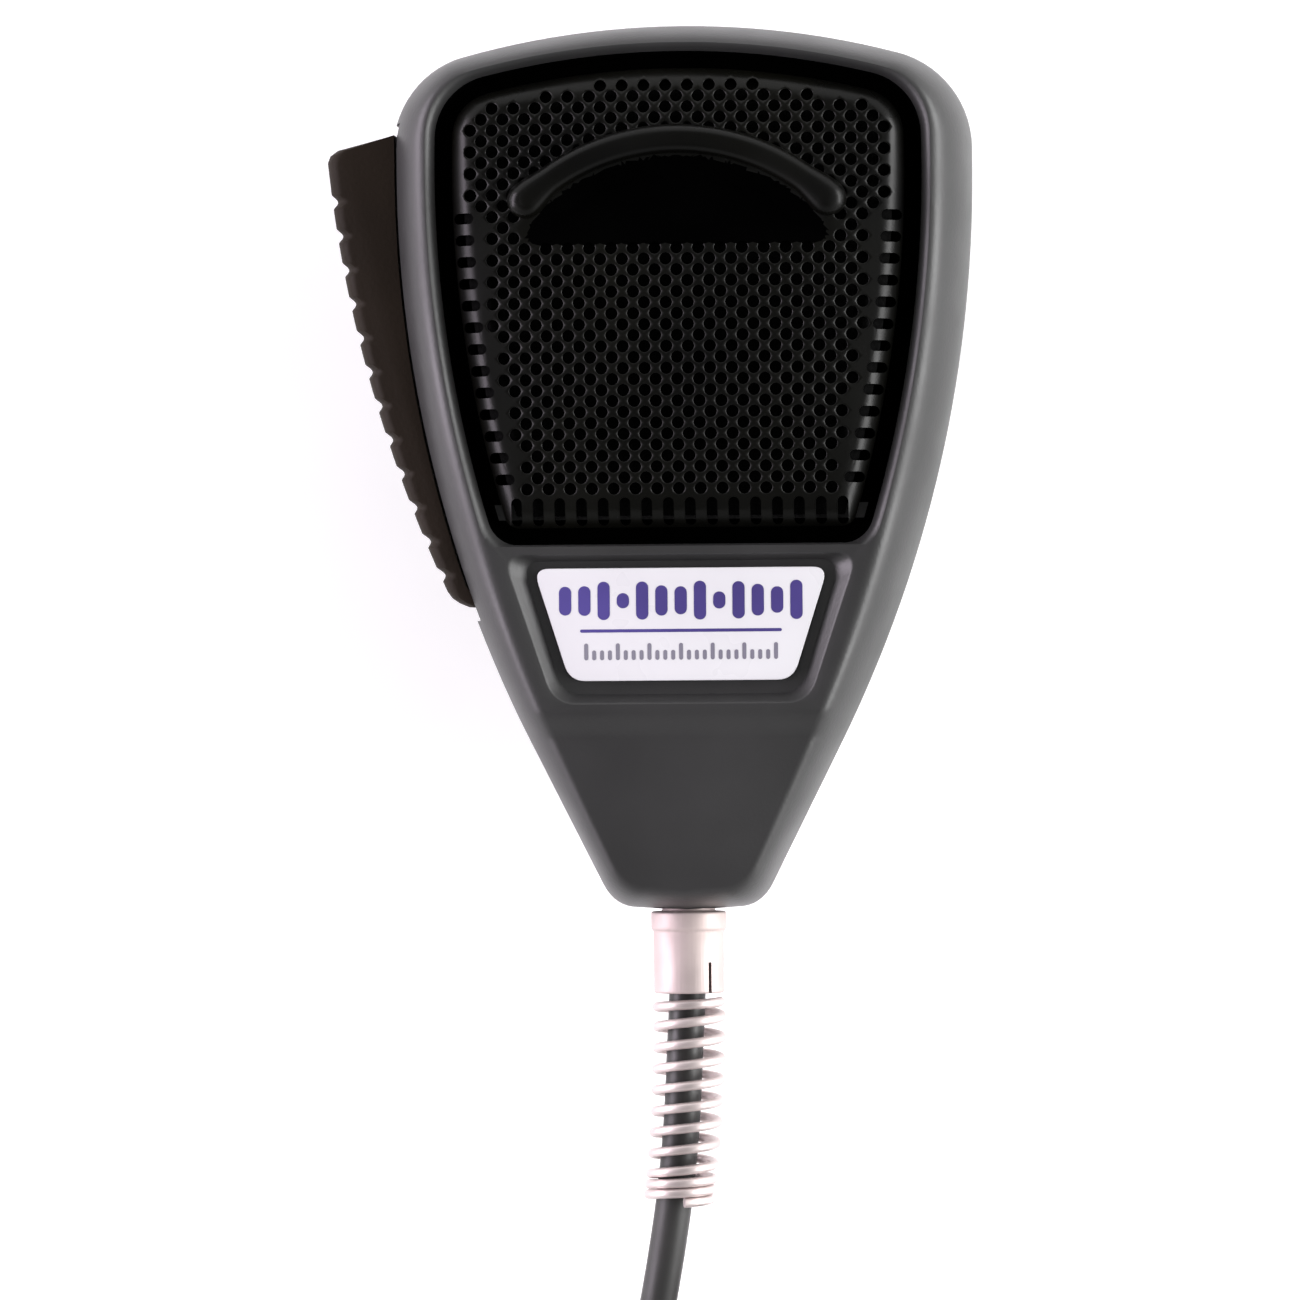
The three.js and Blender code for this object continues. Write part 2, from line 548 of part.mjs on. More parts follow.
/** The cord from its clamp inside the housing, out along the guard's left side and down to the table. */
const CORD_TAIL = [
  [0, 13, 19],
  [0, 4, 19],
  [-0.2, -9, 19],
  [-0.5, -14.8, 18.9],
  [-0.76, -19.9, 18.63],
  [-1.18, -25.05, 18.16],
  [-1.8, -30.2, 17.5],
  [-2.65, -35.5, 16.4],
  [-3.9, -42, 14.4],
  [-5.7, -50, 10.8],
  [-7.7, -58, 7],
  [-9.5, -66, 4.1],
  [-10.7, -74, 2.6],
  [-11.3, -82, 2.15],
  [-11.3, -90, 2.1],
  [-11.1, -98, 2.1],
  [-10.9, -105.6, 2.2],
];
/** The cord from the curled stretch up into the back of the plug. */
const CORD_END = [
  [4.8, -105.5, 2.2],
  [5.2, -100.5, 2.5],
  [6.6, -96, 4],
  [8.4, -92, 6.8],
  [9.7, -88.6, 8.9],
  [10, -85.5, 9.3],
  [10, -81, 9.3],
  [10, -74, 9.3],
];

/** Middle of the curled stretch: two runs side by side that open into a loop at the far end. */
function hankMiddle() {
  const { x, near, mouth, loop, loopY } = HANK;
  const side = (s) => [
    [x + s * mouth, near],
    [x + s * mouth, near - 16],
    [x + s * (mouth + 2), near - 32],
    [x + s * (mouth + 6), near - 46],
    [x + s * loop, loopY],
  ];
  const turn = [150, 120, 90, 60, 30].map((degrees) => {
    const a = THREE.MathUtils.degToRad(degrees);
    return [x + loop * Math.cos(a), loopY - loop * Math.sin(a)];
  });
  const flat = [...side(-1), ...turn, ...side(1).reverse()];
  const points = flat.map(([px, py]) => new THREE.Vector3(px, py, CURL_Z));
  return new THREE.CatmullRomCurve3(points, false, "centripetal");
}

// ---- Face, button and strain relief ----------------------------------------------------------

const screenOuter = dome(-GAP, SHELF_Z + GAP, 0);
const grilleScreen = () => cut(screenOuter, dome(-GAP - SCREEN_T, SHELF_Z - 1, SCREEN_T));

/** The arched rib, shaped underneath to the dome that it stands on. */
function lipGuard() {
  const half = THREE.MathUtils.degToRad(LIP.halfAngle);
  const foot = 30; // starts inside the dome, which then cuts it
  const edge = (r) => arc(0, LIP.y, r, Math.PI / 2 - half, Math.PI / 2 + half, 12);
  const outline = [...edge(LIP.r + LIP.width / 2), ...edge(LIP.r - LIP.width / 2).reverse()];
  const ends = [-half, half].map((a) =>
    rod(LIP.r * Math.sin(a), LIP.y + LIP.r * Math.cos(a), LIP.width / 2, foot, LIP.top),
  );
  const arch = join(extrudeZ(outline, foot, LIP.top), ...ends);
  return cut(arch, screenOuter.translate(0, 0, GAP), everything(20, 31.6));
}

function coverScrew([x, y]) {
  const { headR, headT, shankR, tip, sunk } = COVER_SCREW;
  const seat = backZ(y) + sunk - GAP;
  return screw(headR, headT, shankR, tip - seat).rotate(180, 0, 0).translate(x, y, seat);
}

/** The button's head, its neck and the tail that the nut holds. */
function hangButton() {
  const { headR, headT, neckR, tailR, end, edge } = BUTTON;
  const profile = [
    [0, 0], [headR - edge, 0], [headR, edge], [headR, headT - edge], [headR - edge, headT],
    [neckR, headT], [neckR, BACK_Z - GAP], [tailR, BACK_Z - GAP], [tailR, end], [0, end],
  ];
  return revolve(profile, 32).translate(0, BUTTON.y, 0);
}

const toCordAxis = (part) => alongY(part).translate(0, 0, PARTING_Z);

/** The ferrule: a thin tail through the housing, a collar against it and a plain sleeve. */
function strainFerrule() {
  const { collarR, collarEnd, r, end, bore, tailR, tail } = FERRULE;
  const seat = -GAP - 0.4;
  const profile = [
    [bore, tail], [tailR, tail], [tailR, seat], [collarR, seat], [collarR, collarEnd],
    [r, collarEnd - 0.3], [r, end], [bore, end], [bore, tail],
  ];
  return toCordAxis(revolve(profile, 24));
}

function strainSpring() {
  const across = () => [new THREE.Vector3(1, 0, 0), new THREE.Vector3(0, 0, 1)];
  return helix(guardMiddle, across, GUARD.meanR, GUARD.wire, GUARD.turns, 5, 11);
}

function cordClamp() {
  const { half, y0, y1, low, high } = CORD_CLAMP;
  const holes = CLAMP_SCREWS.map(([x, y]) => rod(x, y, EAR.holeR, low - 1, high + 1, 12));
  return cut(box(-half, half, y0, y1, low, high), ...holes);
}

// ---- Switch, capsule and board ---------------------------------------------------------------

function switchBody() {
  const { x0, x1, y0, y1, z0, z1, plungerY } = SWITCH;
  const { half, clearance, z } = PLUNGER;
  const room = half + clearance;
  const bore = box(x0 - 1, x0 + 4, plungerY - room, plungerY + room, z - room, z + room);
  const holes = SWITCH_SCREWS.map(([x, y]) => rod(x, y, 1.2, 0, 40, 12));
  return cut(box(x0, x1, y0, y1, z0, z1), bore, ...holes);
}

function switchPlunger() {
  const { tip, travelRoom, half, z } = PLUNGER;
  const y = SWITCH.plungerY;
  return box(tip, SWITCH.x0 + travelRoom, y - half, y + half, z - half, z + half);
}

function switchTerminal(y) {
  const x = SWITCH.x1 + GAP;
  return box(x, x + TERMINAL.length, y - TERMINAL.half, y + TERMINAL.half, TERMINAL.low, TERMINAL.high);
}

const capsuleRod = (r, z0, z1) => rod(CAPSULE.x, CAPSULE.y, r, z0, z1, 20);
const capsuleTube = (outer, inner, z0, z1) =>
  cut(capsuleRod(outer, z0, z1), capsuleRod(inner, z0 - 1, z1 + 1));

/** The rubber cup, open at the front, with a vent through its floor. */
const capsuleBoot = () =>
  cut(
    capsuleRod(BOOT.r, BOOT.low, BOOT.high),
    capsuleRod(CAPSULE.r + GAP, BOOT.floor, BOOT.high + 1),
    capsuleRod(BOOT.ventR, BOOT.low - 1, BOOT.floor + 1),
  );

const capsuleCase = () =>
  cut(
    capsuleRod(CAPSULE.r, CASE.low, CASE.high),
    capsuleRod(CAPSULE.r - CASE.wall, CASE.floor, CASE.high + 1),
  );

/** The pierced cap over the diaphragm. */
function capsuleCap() {
  const holes = Array.from({ length: CAP.holes }, (_, i) => {
    const a = (2 * Math.PI * i) / CAP.holes;
    const x = CAPSULE.x + CAP.holeCircle * Math.cos(a);
    return rod(x, CAPSULE.y + CAP.holeCircle * Math.sin(a), CAP.holeR, CAP.low - 1, CAP.high + 1, 8);
  });
  const hollow = capsuleRod(CAPSULE.r - CAP.wall, CAP.low - 1, CAP.roof);
  return cut(capsuleRod(CAPSULE.r, CAP.low, CAP.high), hollow, ...holes);
}

/** The ring that holds the capsule down, with an ear for each screw. */
function clampRing() {
  const { r, bore, low, high } = CLAMP_RING;
  const ears = earPlaces.map(([x, y]) => rod(x, y, EAR.r, low, high, 12));
  const holes = earPlaces.map(([x, y]) => rod(x, y, EAR.holeR, low - 1, high + 1, 8));
  return cut(join(capsuleTube(r, bore, low, high), ...ears), ...holes);
}

/** A maker of plain screws that all have their heads at one height. */
const smallScrew = (headUnder, length) => ([x, y]) =>
  screw(SMALL_SCREW.headR, SMALL_SCREW.headT, SMALL_SCREW.shankR, length, false).translate(x, y, headUnder);

function circuitBoard() {
  const { half, y0, y1, low, high } = BOARD;
  const holes = STANDOFFS.map(([x, y]) => rod(x, y, 0.9, low - 1, high + 1, 10));
  return cut(box(-half, half, y0, y1, low, high), ...holes);
}

function loadResistor() {
  const { x, y, z, r, length } = RESISTOR;
  return alongY(rod(0, 0, r, 0, length, 10)).translate(x, y, z);
}

const WIRES = {
  conductor_red: [[-0.8, 14, 19.6], [-2.6, 16, 20.2], [-4.6, 20, 20], [-5, 24, 18.4], [-3, 27, 16.1]],
  conductor_black: [[0.8, 14, 18.4], [2.8, 16, 17.6], [4.6, 20, 16.9], [4.6, 24, 16.7], [2.4, 28, 16.1]],
  conductor_white: [
    [0.9, 14, 19.8], [3.2, 17, 21], [6, 22, 22], [6, 32, 22.4], [4.2, 38, 21.4], [1.7, 40, 19.2],
  ],
  capsule_lead_1: [
    [3.5, 60.5, 12.2], [4.2, 57, 9.9], [5.4, 52, 9.9], [7, 47.4, 12.6], [5.2, 44.6, 17.2], [1.7, 44, 19.1],
  ],
  capsule_lead_2: [
    [0.5, 60.5, 12.2], [1, 57, 9.9], [2.8, 50.6, 10.2], [3.8, 48, 14], [3.8, 47.8, 17.6], [1.7, 48, 19.1],
  ],
};

// ---- Cord tie and plug -----------------------------------------------------------------------

/** A flat strap round both runs of the curl. */
function cordTie() {
  const wide = HANK.mouth + CURL_R + TIE.side;
  const high = CURL_Z + CURL_R + TIE.top;
  const belt = (half, z0, z1) => box(HANK.x - half, HANK.x + half, TIE.from, TIE.to, z0, z1);
  return cut(belt(wide + TIE.strapSide, 0, high + TIE.strapTop), belt(wide, -1, high));
}

const toPlugAxis = (part) => alongY(part).translate(PLUG.x, 0, PLUG.z);
const plugRod = (r, y0, y1) => toPlugAxis(rod(0, 0, r, y0, y1, 24));

/** The shell: a sleeve for the cord, flat on top for the saddle, then a cone and the wide barrel. */
function plugShell() {
  const { rear, shellR, shellBore, cordBore, shellFront } = PLUG;
  const profile = [
    [cordBore, rear], [4.6, rear], [5, rear + 0.6], [5, rear + 5], [shellR, rear + 9], [shellR, shellFront],
    [shellBore, shellFront], [shellBore, rear + 11], [cordBore, rear + 7], [cordBore, rear],
  ];
  const half = SADDLE.half + GAP;
  const seat = box(PLUG.x - half, PLUG.x + half, rear - 1, rear + 5, SADDLE.low - GAP, SADDLE.high + 5);
  return cut(toPlugAxis(revolve(profile, 24)), seat);
}

const saddle = () =>
  box(PLUG.x - SADDLE.half, PLUG.x + SADDLE.half, SADDLE.y0, SADDLE.y1, SADDLE.low, SADDLE.high);
function saddleScrew(side) {
  const { reach, y, r, low, high } = SADDLE_SCREW;
  return rod(PLUG.x + side * reach, y, r, low, high, 12);
}

/** The coupling ring, with an inward lip at its rear that keeps it on the insert's shoulder. */
function plugRing() {
  const { rear, front, r, bore, lipBore, lip, edge } = PLUG_RING;
  const profile = [
    [bore, rear + lip], [bore, front], [r - edge, front], [r, front - edge], [r, rear + 1], [r - 1, rear],
    [lipBore, rear], [lipBore, rear + lip], [bore, rear + lip],
  ];
  return toPlugAxis(revolve(profile, 24));
}

const contactPlaces = [45, 135, 225, 315].map((degrees) => {
  const a = THREE.MathUtils.degToRad(degrees);
  return [CONTACT.circle * Math.cos(a), CONTACT.circle * Math.sin(a)];
});

/** The insulator, with a shoulder behind the ring's lip and a hole for each contact. */
function plugInsert() {
  const shoulder = plugRod(INSERT.shoulderR, PLUG.shellFront + 0.4, PLUG.shellFront + 1.6);
  const holes = contactPlaces.map(([x, z]) => toPlugAxis(rod(x, z, CONTACT.holeR, PLUG.rear, 0, 12)));
  return cut(join(plugRod(INSERT.r, INSERT.rear, INSERT.face), shoulder), ...holes);
}

const plugContact = ([x, z]) =>
  toPlugAxis(tube(x, z, CONTACT.r, CONTACT.bore, CONTACT.rear, INSERT.face - CONTACT.sunk, 10));

// ---- Materials -------------------------------------------------------------------------------

const paint = (color, roughness, metalness = 0) =>
  new THREE.MeshStandardMaterial({ color, roughness, metalness });
const MATERIAL = {
  housing: paint(0x3a3a3b, 0.5),
  grille: paint(0x101010, 0.35),
  foam: paint(0x141414, 1),
  label: paint(0xf2f0f6, 0.4),
  rubber: paint(0x262019, 0.8),
  nylon: paint(0x2b2b2b, 0.6),
  nickel: paint(0xd8d0cc, 0.25, 1),
  steel: paint(0xb8b8ba, 0.35, 1),
  brass: paint(0xc9a24e, 0.3, 1),
  board: paint(0x1f5a3a, 0.5),
  cable: paint(0x3c3c3b, 0.55),
  redWire: paint(0xa52222, 0.5),
  whiteWire: paint(0xe6e2da, 0.5),
  magnet: paint(0x55565a, 0.5, 0.8),
  film: paint(0xd9c58a, 0.3),
};
const WIRE_MATERIAL = {
  conductor_red: MATERIAL.redWire,
  conductor_black: MATERIAL.rubber,
  conductor_white: MATERIAL.whiteWire,
  capsule_lead_1: MATERIAL.redWire,
  capsule_lead_2: MATERIAL.whiteWire,
};

// ---- Assembly --------------------------------------------------------------------------------

const microphone = new THREE.Group();
microphone.position.y = -BUTTON.y;

/** Adds a solid as a named mesh. */
function add(name, part, material) {
  const { numProp, vertProperties, triVerts } = part.getMesh();
  const vertices = new Float32Array((vertProperties.length / numProp) * 3);
  for (let i = 0; i * numProp < vertProperties.length; i++)
    vertices.set(vertProperties.subarray(i * numProp, i * numProp + 3), i * 3);
  const geometry = new THREE.BufferGeometry();
  geometry.setAttribute("position", new THREE.BufferAttribute(vertices, 3));
  geometry.setIndex(new THREE.BufferAttribute(new Uint32Array(triVerts), 1));
  const mesh = new THREE.Mesh(geometry, material);
  mesh.name = name;
  microphone.add(mesh);
}

/** Adds one numbered mesh for each place. */
const addEach = (name, places, make, material) =>
  places.forEach((place, i) => add(`${name}_${i + 1}`, make(place), material));

// Housing and face.
add("front_cover", frontCover(), MATERIAL.housing);
add("rear_cover", rearCover(), MATERIAL.housing);
add("grille_screen", grilleScreen(), MATERIAL.grille);
add("foam_pad", dome(-1.5, SHELF_Z + 0.5, 1.3), MATERIAL.foam);
add("lip_guard", lipGuard(), MATERIAL.grille);
const plate = prism(trapezoidHalf(NAMEPLATE), NAMEPLATE_Z, NAMEPLATE_Z + NAMEPLATE_T);
add("nameplate", plate, MATERIAL.label);
addEach("cover_screw", COVER_SCREWS, coverScrew, MATERIAL.steel);

// Hang-up button.
const buttonBore = BUTTON.tailR + GAP;
const washer = tube(0, BUTTON.y, BUTTON_WASHER.r, buttonBore, BACK_Z + WALL + GAP, BUTTON_WASHER.top, 18);
const buttonNut = nut(BUTTON_NUT.across, buttonBore, BUTTON_NUT.low, BUTTON_NUT.high);
add("hang_button", hangButton(), MATERIAL.nickel);
add("hang_button_washer", washer, MATERIAL.steel);
add("hang_button_nut", buttonNut.translate(0, BUTTON.y, 0), MATERIAL.steel);

// Strain relief at the cord end.
const strainNut = nut(STRAIN_NUT.across, FERRULE.tailR + GAP, STRAIN_NUT.low, STRAIN_NUT.high);
add("strain_ferrule", strainFerrule(), MATERIAL.nickel);
add("strain_nut", toCordAxis(strainNut), MATERIAL.steel);
add("strain_spring", strainSpring(), MATERIAL.nickel);
add("cord_clamp", cordClamp(), MATERIAL.nylon);

// Push-to-talk lever and switch.
add("ptt_grip", pttGrip(), MATERIAL.rubber);
add("ptt_carrier", pttCarrier(), MATERIAL.nylon);
add("ptt_pivot_pin", rod(PIVOT.x, PIVOT.y, PIVOT.r, PIVOT.low, PIVOT.high), MATERIAL.steel);
add("ptt_return_spring", returnSpring(), MATERIAL.steel);
add("switch_body", switchBody(), MATERIAL.nylon);
add("switch_plunger", switchPlunger(), MATERIAL.label);
addEach("switch_terminal", TERMINAL.rows, switchTerminal, MATERIAL.brass);

// Microphone capsule.
const diaphragm = revolve(DIAPHRAGM, 24).translate(CAPSULE.x, CAPSULE.y, 0);
add("capsule_boot", capsuleBoot(), MATERIAL.rubber);
add("capsule_case", capsuleCase(), MATERIAL.steel);
add("capsule_magnet", capsuleRod(MAGNET.r, MAGNET.low, MAGNET.high), MATERIAL.magnet);
add("voice_coil", capsuleTube(COIL.r, COIL.bore, COIL.low, COIL.high), MATERIAL.brass);
add("diaphragm", diaphragm, MATERIAL.film);
add("capsule_cap", capsuleCap(), MATERIAL.steel);
add("capsule_clamp_ring", clampRing(), MATERIAL.steel);
addEach("clamp_ring_screw", earPlaces, smallScrew(CLAMP_RING.high + GAP / 2, 6), MATERIAL.steel);
addEach("switch_screw", SWITCH_SCREWS, smallScrew(SWITCH.z1 + GAP, 14.6), MATERIAL.steel);
addEach("cord_clamp_screw", CLAMP_SCREWS, smallScrew(CORD_CLAMP.high + GAP, 7), MATERIAL.steel);

// Terminal board and wiring.
const capacitor = rod(CAPACITOR.x, CAPACITOR.y, CAPACITOR.r, CAPACITOR.low, CAPACITOR.high, 16);
add("circuit_board", circuitBoard(), MATERIAL.board);
add("bypass_capacitor", capacitor, MATERIAL.magnet);
add("load_resistor", loadResistor(), MATERIAL.film);
for (const [name, points] of Object.entries(WIRES))
  add(name, sweep(points, WIRE_R, 5, 9), WIRE_MATERIAL[name]);

// Free cord, its curled stretch and the tie round it.
add("cord_tail", sweep(CORD_TAIL, CORD_R, 8, 26), MATERIAL.cable);
add("cord_curl", sweep(hankMiddle(), CURL_R, 10, 30), MATERIAL.cable);
add("cord_end", sweep(CORD_END, CORD_R, 8, 9), MATERIAL.cable);
add("cord_tie", cordTie(), MATERIAL.nylon);

// Plug.
add("plug_shell", plugShell(), MATERIAL.nickel);
add("plug_clamp", saddle(), MATERIAL.nickel);
addEach("plug_clamp_screw", [-1, 1], saddleScrew, MATERIAL.steel);
add("plug_ring", plugRing(), MATERIAL.nickel);
add("plug_insert", plugInsert(), MATERIAL.nylon);
addEach("plug_contact", contactPlaces, plugContact, MATERIAL.brass);

export default microphone;
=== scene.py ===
"""A hand microphone for a two-way radio, seen from above as it lies on its hang-up button.

Shapes are worked out in millimetres in the housing's own coordinates, where y = 0 is the cord end,
and place() turns them into the frame's metres.
"""

from math import atan2, copysign, cos, dist, exp, hypot, pi, radians, sin, sqrt

import bmesh
import bpy
from mathutils import Matrix, Vector


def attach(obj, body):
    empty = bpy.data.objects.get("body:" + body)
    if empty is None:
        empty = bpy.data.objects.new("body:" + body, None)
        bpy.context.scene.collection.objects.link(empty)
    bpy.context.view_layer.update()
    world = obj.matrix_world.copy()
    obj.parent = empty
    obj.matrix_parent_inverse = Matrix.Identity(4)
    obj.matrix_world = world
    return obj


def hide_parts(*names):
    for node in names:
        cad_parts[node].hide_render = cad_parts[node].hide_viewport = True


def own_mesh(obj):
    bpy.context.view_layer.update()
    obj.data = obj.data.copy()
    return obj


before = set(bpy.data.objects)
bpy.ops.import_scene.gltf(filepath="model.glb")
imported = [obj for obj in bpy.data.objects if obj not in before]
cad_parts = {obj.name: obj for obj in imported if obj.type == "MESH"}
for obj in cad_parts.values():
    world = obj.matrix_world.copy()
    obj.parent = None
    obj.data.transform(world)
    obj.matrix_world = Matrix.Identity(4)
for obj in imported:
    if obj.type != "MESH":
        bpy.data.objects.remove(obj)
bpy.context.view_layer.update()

MM = 0.001
BUTTON_Y = 46.5  # the frame's origin, in housing coordinates
ROOT = "microphone"
LEVER = "ptt_lever"
RING = "plug_coupling_ring"

# ---- Driving dimensions ----

PARTING_Z = 19
PARTING_GAP = 0.12
FRONT_Z = 31
BACK_Z = 5
WALL = 2.2
CROWN = (0, 5, 85)  # x, y and radius
SHOULDER = (19.6, 77.4, 10)
SIDE = (-100.4, 75, 130)
TAPER_Y = 17
CORD_END_CORNER = 2.4
STEP_TOP, STEP_BOTTOM, STEP_DEPTH = 20.4, 17, 1.3
NECK_SLOPE = 0.15
BACK_RISE_FROM, BACK_RISE, BACK_RISE_POWER = 36, 5.5, 1.6
FRONT_WEIGHT = {"top": 0.6, "side": 1, "base": 0.55}
BACK_WEIGHT = {"top": 0.85, "side": 1, "base": 0.4}
FRONT_ROUND = 4.4  # width of the rounded edge on each face
BACK_ROUND = 8

GRILLE_CROWN, GRILLE_SIDE, GRILLE_BOTTOM = 80.4, 123.6, 38.4
GRILLE_CORNER, GRILLE_BOTTOM_CORNER = 5, 1.8
SHELF_Z = 27.8
HOLE_PITCH = 2.2 / sqrt(2)
HOLE_R = 0.62
SHEET_T = 0.55

LIP_Y, LIP_R, LIP_HALF_WIDTH, LIP_SWING = 55.7, 22.1, 1.5, radians(43.5)
NAMEPLATE_Z = 29.95

CORD_R = 1.875
CURL_R = 5.25  # middle of the cord's section to the middle of the curl
CURL_PITCH = 4.0
CURL_Z = 7.3
HANK_X, HANK_NEAR, HANK_MOUTH, HANK_LOOP, HANK_LOOP_Y = -3, -106, 7.8, 17, -188
GUARD_START, GUARD_END, GUARD_LEAN, GUARD_SAG = -9.65, -30.2, 1.3, 1.5
PLUG_X, PLUG_Z, PLUG_REAR = 10, 9.3, -86


def place(x, y, z):
    """A point of the housing's coordinates, in the frame."""
    return (x * MM, (y - BUTTON_Y) * MM, z * MM)


def link_object(name, data):
    obj = bpy.data.objects.new(name, data)
    bpy.context.scene.collection.objects.link(obj)
    return obj


# ---- Camera ----

FIELD_MM = 133.06  # the picture's width at the parting plane
CAMERA_DISTANCE = 900
CAMERA_YAW = radians(3)
CAMERA_ROLL = radians(0.45)
AIM = (-3.75, 26.3, 19)
SENSOR_MM = 36


def make_camera():
    data = bpy.data.cameras.new("camera")
    data.sensor_width = SENSOR_MM
    data.lens = SENSOR_MM * CAMERA_DISTANCE / FIELD_MM
    data.clip_start, data.clip_end = 0.01, 20
    camera = link_object("camera", data)
    target = Vector(place(*AIM))
    back = Vector((sin(CAMERA_YAW), 0, cos(CAMERA_YAW)))
    up = Vector((sin(CAMERA_ROLL), cos(CAMERA_ROLL), 0))
    right = up.cross(back).normalized()
    turn = Matrix((right, back.cross(right), back)).transposed().to_4x4()
    camera.matrix_world = Matrix.Translation(target + back * CAMERA_DISTANCE * MM) @ turn
    bpy.context.scene.camera = camera


make_camera()

# ---- Materials ----


def shader_of(material):
    return material.node_tree.nodes["Principled BSDF"]


def set_sockets(node, **values):
    for socket, value in values.items():
        node.inputs[socket.replace("_", " ")].default_value = value


def add_node(owner, kind, **values):
    """A new shader node of a material or a world, with the values of its sockets."""
    node = owner.node_tree.nodes.new("ShaderNode" + kind)
    set_sockets(node, **values)
    return node


def feed(material, socket, output):
    material.node_tree.links.new(output, shader_of(material).inputs[socket])


def new_material(name, colour, roughness, metallic=0.0, specular=0.5):
    made = bpy.data.materials.new(name)
    made.use_nodes = True
    set_sockets(shader_of(made), Roughness=roughness, Metallic=metallic, Specular_IOR_Level=specular)
    set_sockets(shader_of(made), Base_Color=(*colour, 1))
    return made


def noise(material, scale, detail, stretch=(1, 1, 1)):
    """A noise texture in object coordinates; scale is features per metre."""
    links = material.node_tree.links
    mapping = add_node(material, "Mapping", Scale=stretch)
    texture = add_node(material, "TexNoise", Scale=scale, Detail=detail)
    links.new(add_node(material, "TexCoord").outputs["Object"], mapping.inputs["Vector"])
    links.new(mapping.outputs["Vector"], texture.inputs["Vector"])
    return texture.outputs["Fac"]


def between(material, source, dark, light):
    """A colour ramp on source, from dark to light across its middle."""
    node = add_node(material, "ValToRGB")
    for element, position, colour in zip(node.color_ramp.elements, (0.3, 0.7), (dark, light)):
        element.position, element.color = position, (*colour, 1)
    material.node_tree.links.new(source, node.inputs["Fac"])
    return node.outputs["Color"]


def vary(material, socket, scale, detail, dark, light):
    feed(material, socket, between(material, noise(material, scale, detail), dark, light))


def grain(material, scale, depth_mm, stretch=(1, 1, 1)):
    """A fine surface grain as bump."""
    node = add_node(material, "Bump", Strength=1, Distance=depth_mm * MM)
    material.node_tree.links.new(noise(material, scale, 2, stretch), node.inputs["Height"])
    feed(material, "Normal", node.outputs["Normal"])


def moulded(name, dark, light, roughness, grain_mm=0.02, grain_scale=2600, specular=0.5):
    made = new_material(name, light, roughness, 0, specular)
    vary(made, "Base Color", 60, 4, dark, light)
    vary(made, "Roughness", 90, 3, (roughness - 0.05,) * 3, (roughness + 0.07,) * 3)
    grain(made, grain_scale, grain_mm)
    return made


def metal(name, dark, light, roughness, brushed=None, scale=1500, depth_mm=0.006, metallic=1.0):
    made = new_material(name, light, roughness, metallic)
    vary(made, "Base Color", 120, 4, dark, light)
    vary(made, "Roughness", 200, 3, (roughness * 0.8,) * 3, (roughness * 1.3,) * 3)
    if brushed:
        grain(made, scale, depth_mm, brushed)
    return made


MATERIAL = {
    "housing": moulded("housing_plastic", (0.021,) * 3, (0.029, 0.0285, 0.029), 0.42),
    "grille": moulded("grille_enamel", (0.001,) * 3, (0.003, 0.003, 0.002), 0.3, 0.006, 3500, 0.17),
    # painted shade: a near-black matt material that stands in for the shade deep in the groove round the
    # grille and in the hollow under the lip guard
    "groove": moulded("painted_shade", (0.0003,) * 3, (0.0008,) * 3, 0.3, 0.004, 2600, 0),
    "foam": moulded("open_foam", (0.001,) * 3, (0.003,) * 3, 0.95, 0.3, 1500, 0.1),
    "rubber": moulded(
        "grip_rubber", (0.0095, 0.0055, 0.0025), (0.0165, 0.0105, 0.006), 0.62, 0.03, 2200, 0.15
    ),
    "nylon": moulded("black_nylon", (0.018,) * 3, (0.028,) * 3, 0.5),
    "plate": moulded("nameplate_white", (0.66, 0.65, 0.68), (0.72, 0.71, 0.74), 0.3, 0.003, 900),
    "ink": moulded("nameplate_ink", (0.045, 0.032, 0.15), (0.08, 0.06, 0.26), 0.35, 0.002, 1500),
    "ink_grey": moulded("nameplate_grey_ink", (0.16, 0.15, 0.20), (0.22, 0.21, 0.26), 0.35, 0.002, 1500),
    "nickel": metal("bright_nickel", (0.60, 0.52, 0.51), (0.72, 0.63, 0.62), 0.4, metallic=0.8),
    "satin": metal(
        "satin_nickel", (0.50, 0.42, 0.41), (0.62, 0.52, 0.50), 0.55, (1, 0.03, 1), 4200, 0.02, 0.5
    ),
    "brushed": metal("brushed_nickel", (0.60, 0.57, 0.56), (0.76, 0.73, 0.72), 0.3, (1, 12, 1)),
    "steel": metal("zinc_steel", (0.45, 0.45, 0.46), (0.62, 0.62, 0.63), 0.36, (12, 1, 1)),
    "brass": metal("contact_brass", (0.62, 0.44, 0.16), (0.80, 0.60, 0.26), 0.24),
    "magnet": metal("magnet_alloy", (0.16, 0.16, 0.17), (0.24, 0.24, 0.25), 0.5, (1, 1, 6)),
    "jacket": moulded("cord_jacket", (0.018, 0.018, 0.0175), (0.028, 0.027, 0.026), 0.46, 0.015, 1800),
    "board": moulded("board_laminate", (0.010, 0.075, 0.035), (0.015, 0.105, 0.05), 0.35, 0.01),
    "film": moulded("amber_film", (0.50, 0.40, 0.16), (0.62, 0.51, 0.22), 0.25, 0.004, 700),
    "wire_red": moulded("wire_red", (0.30, 0.012, 0.012), (0.40, 0.02, 0.02), 0.35, 0.01),
    "wire_white": moulded("wire_white", (0.68, 0.66, 0.60), (0.80, 0.78, 0.73), 0.35, 0.01),
}

# ---- Mesh helpers ----


def finish_piece(obj, slot, *replaced, body=ROOT):
    """Puts a piece on its body, in place of the nodes that it replaces; slot is not used."""
    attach(obj, body)
    if replaced:
        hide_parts(*replaced)


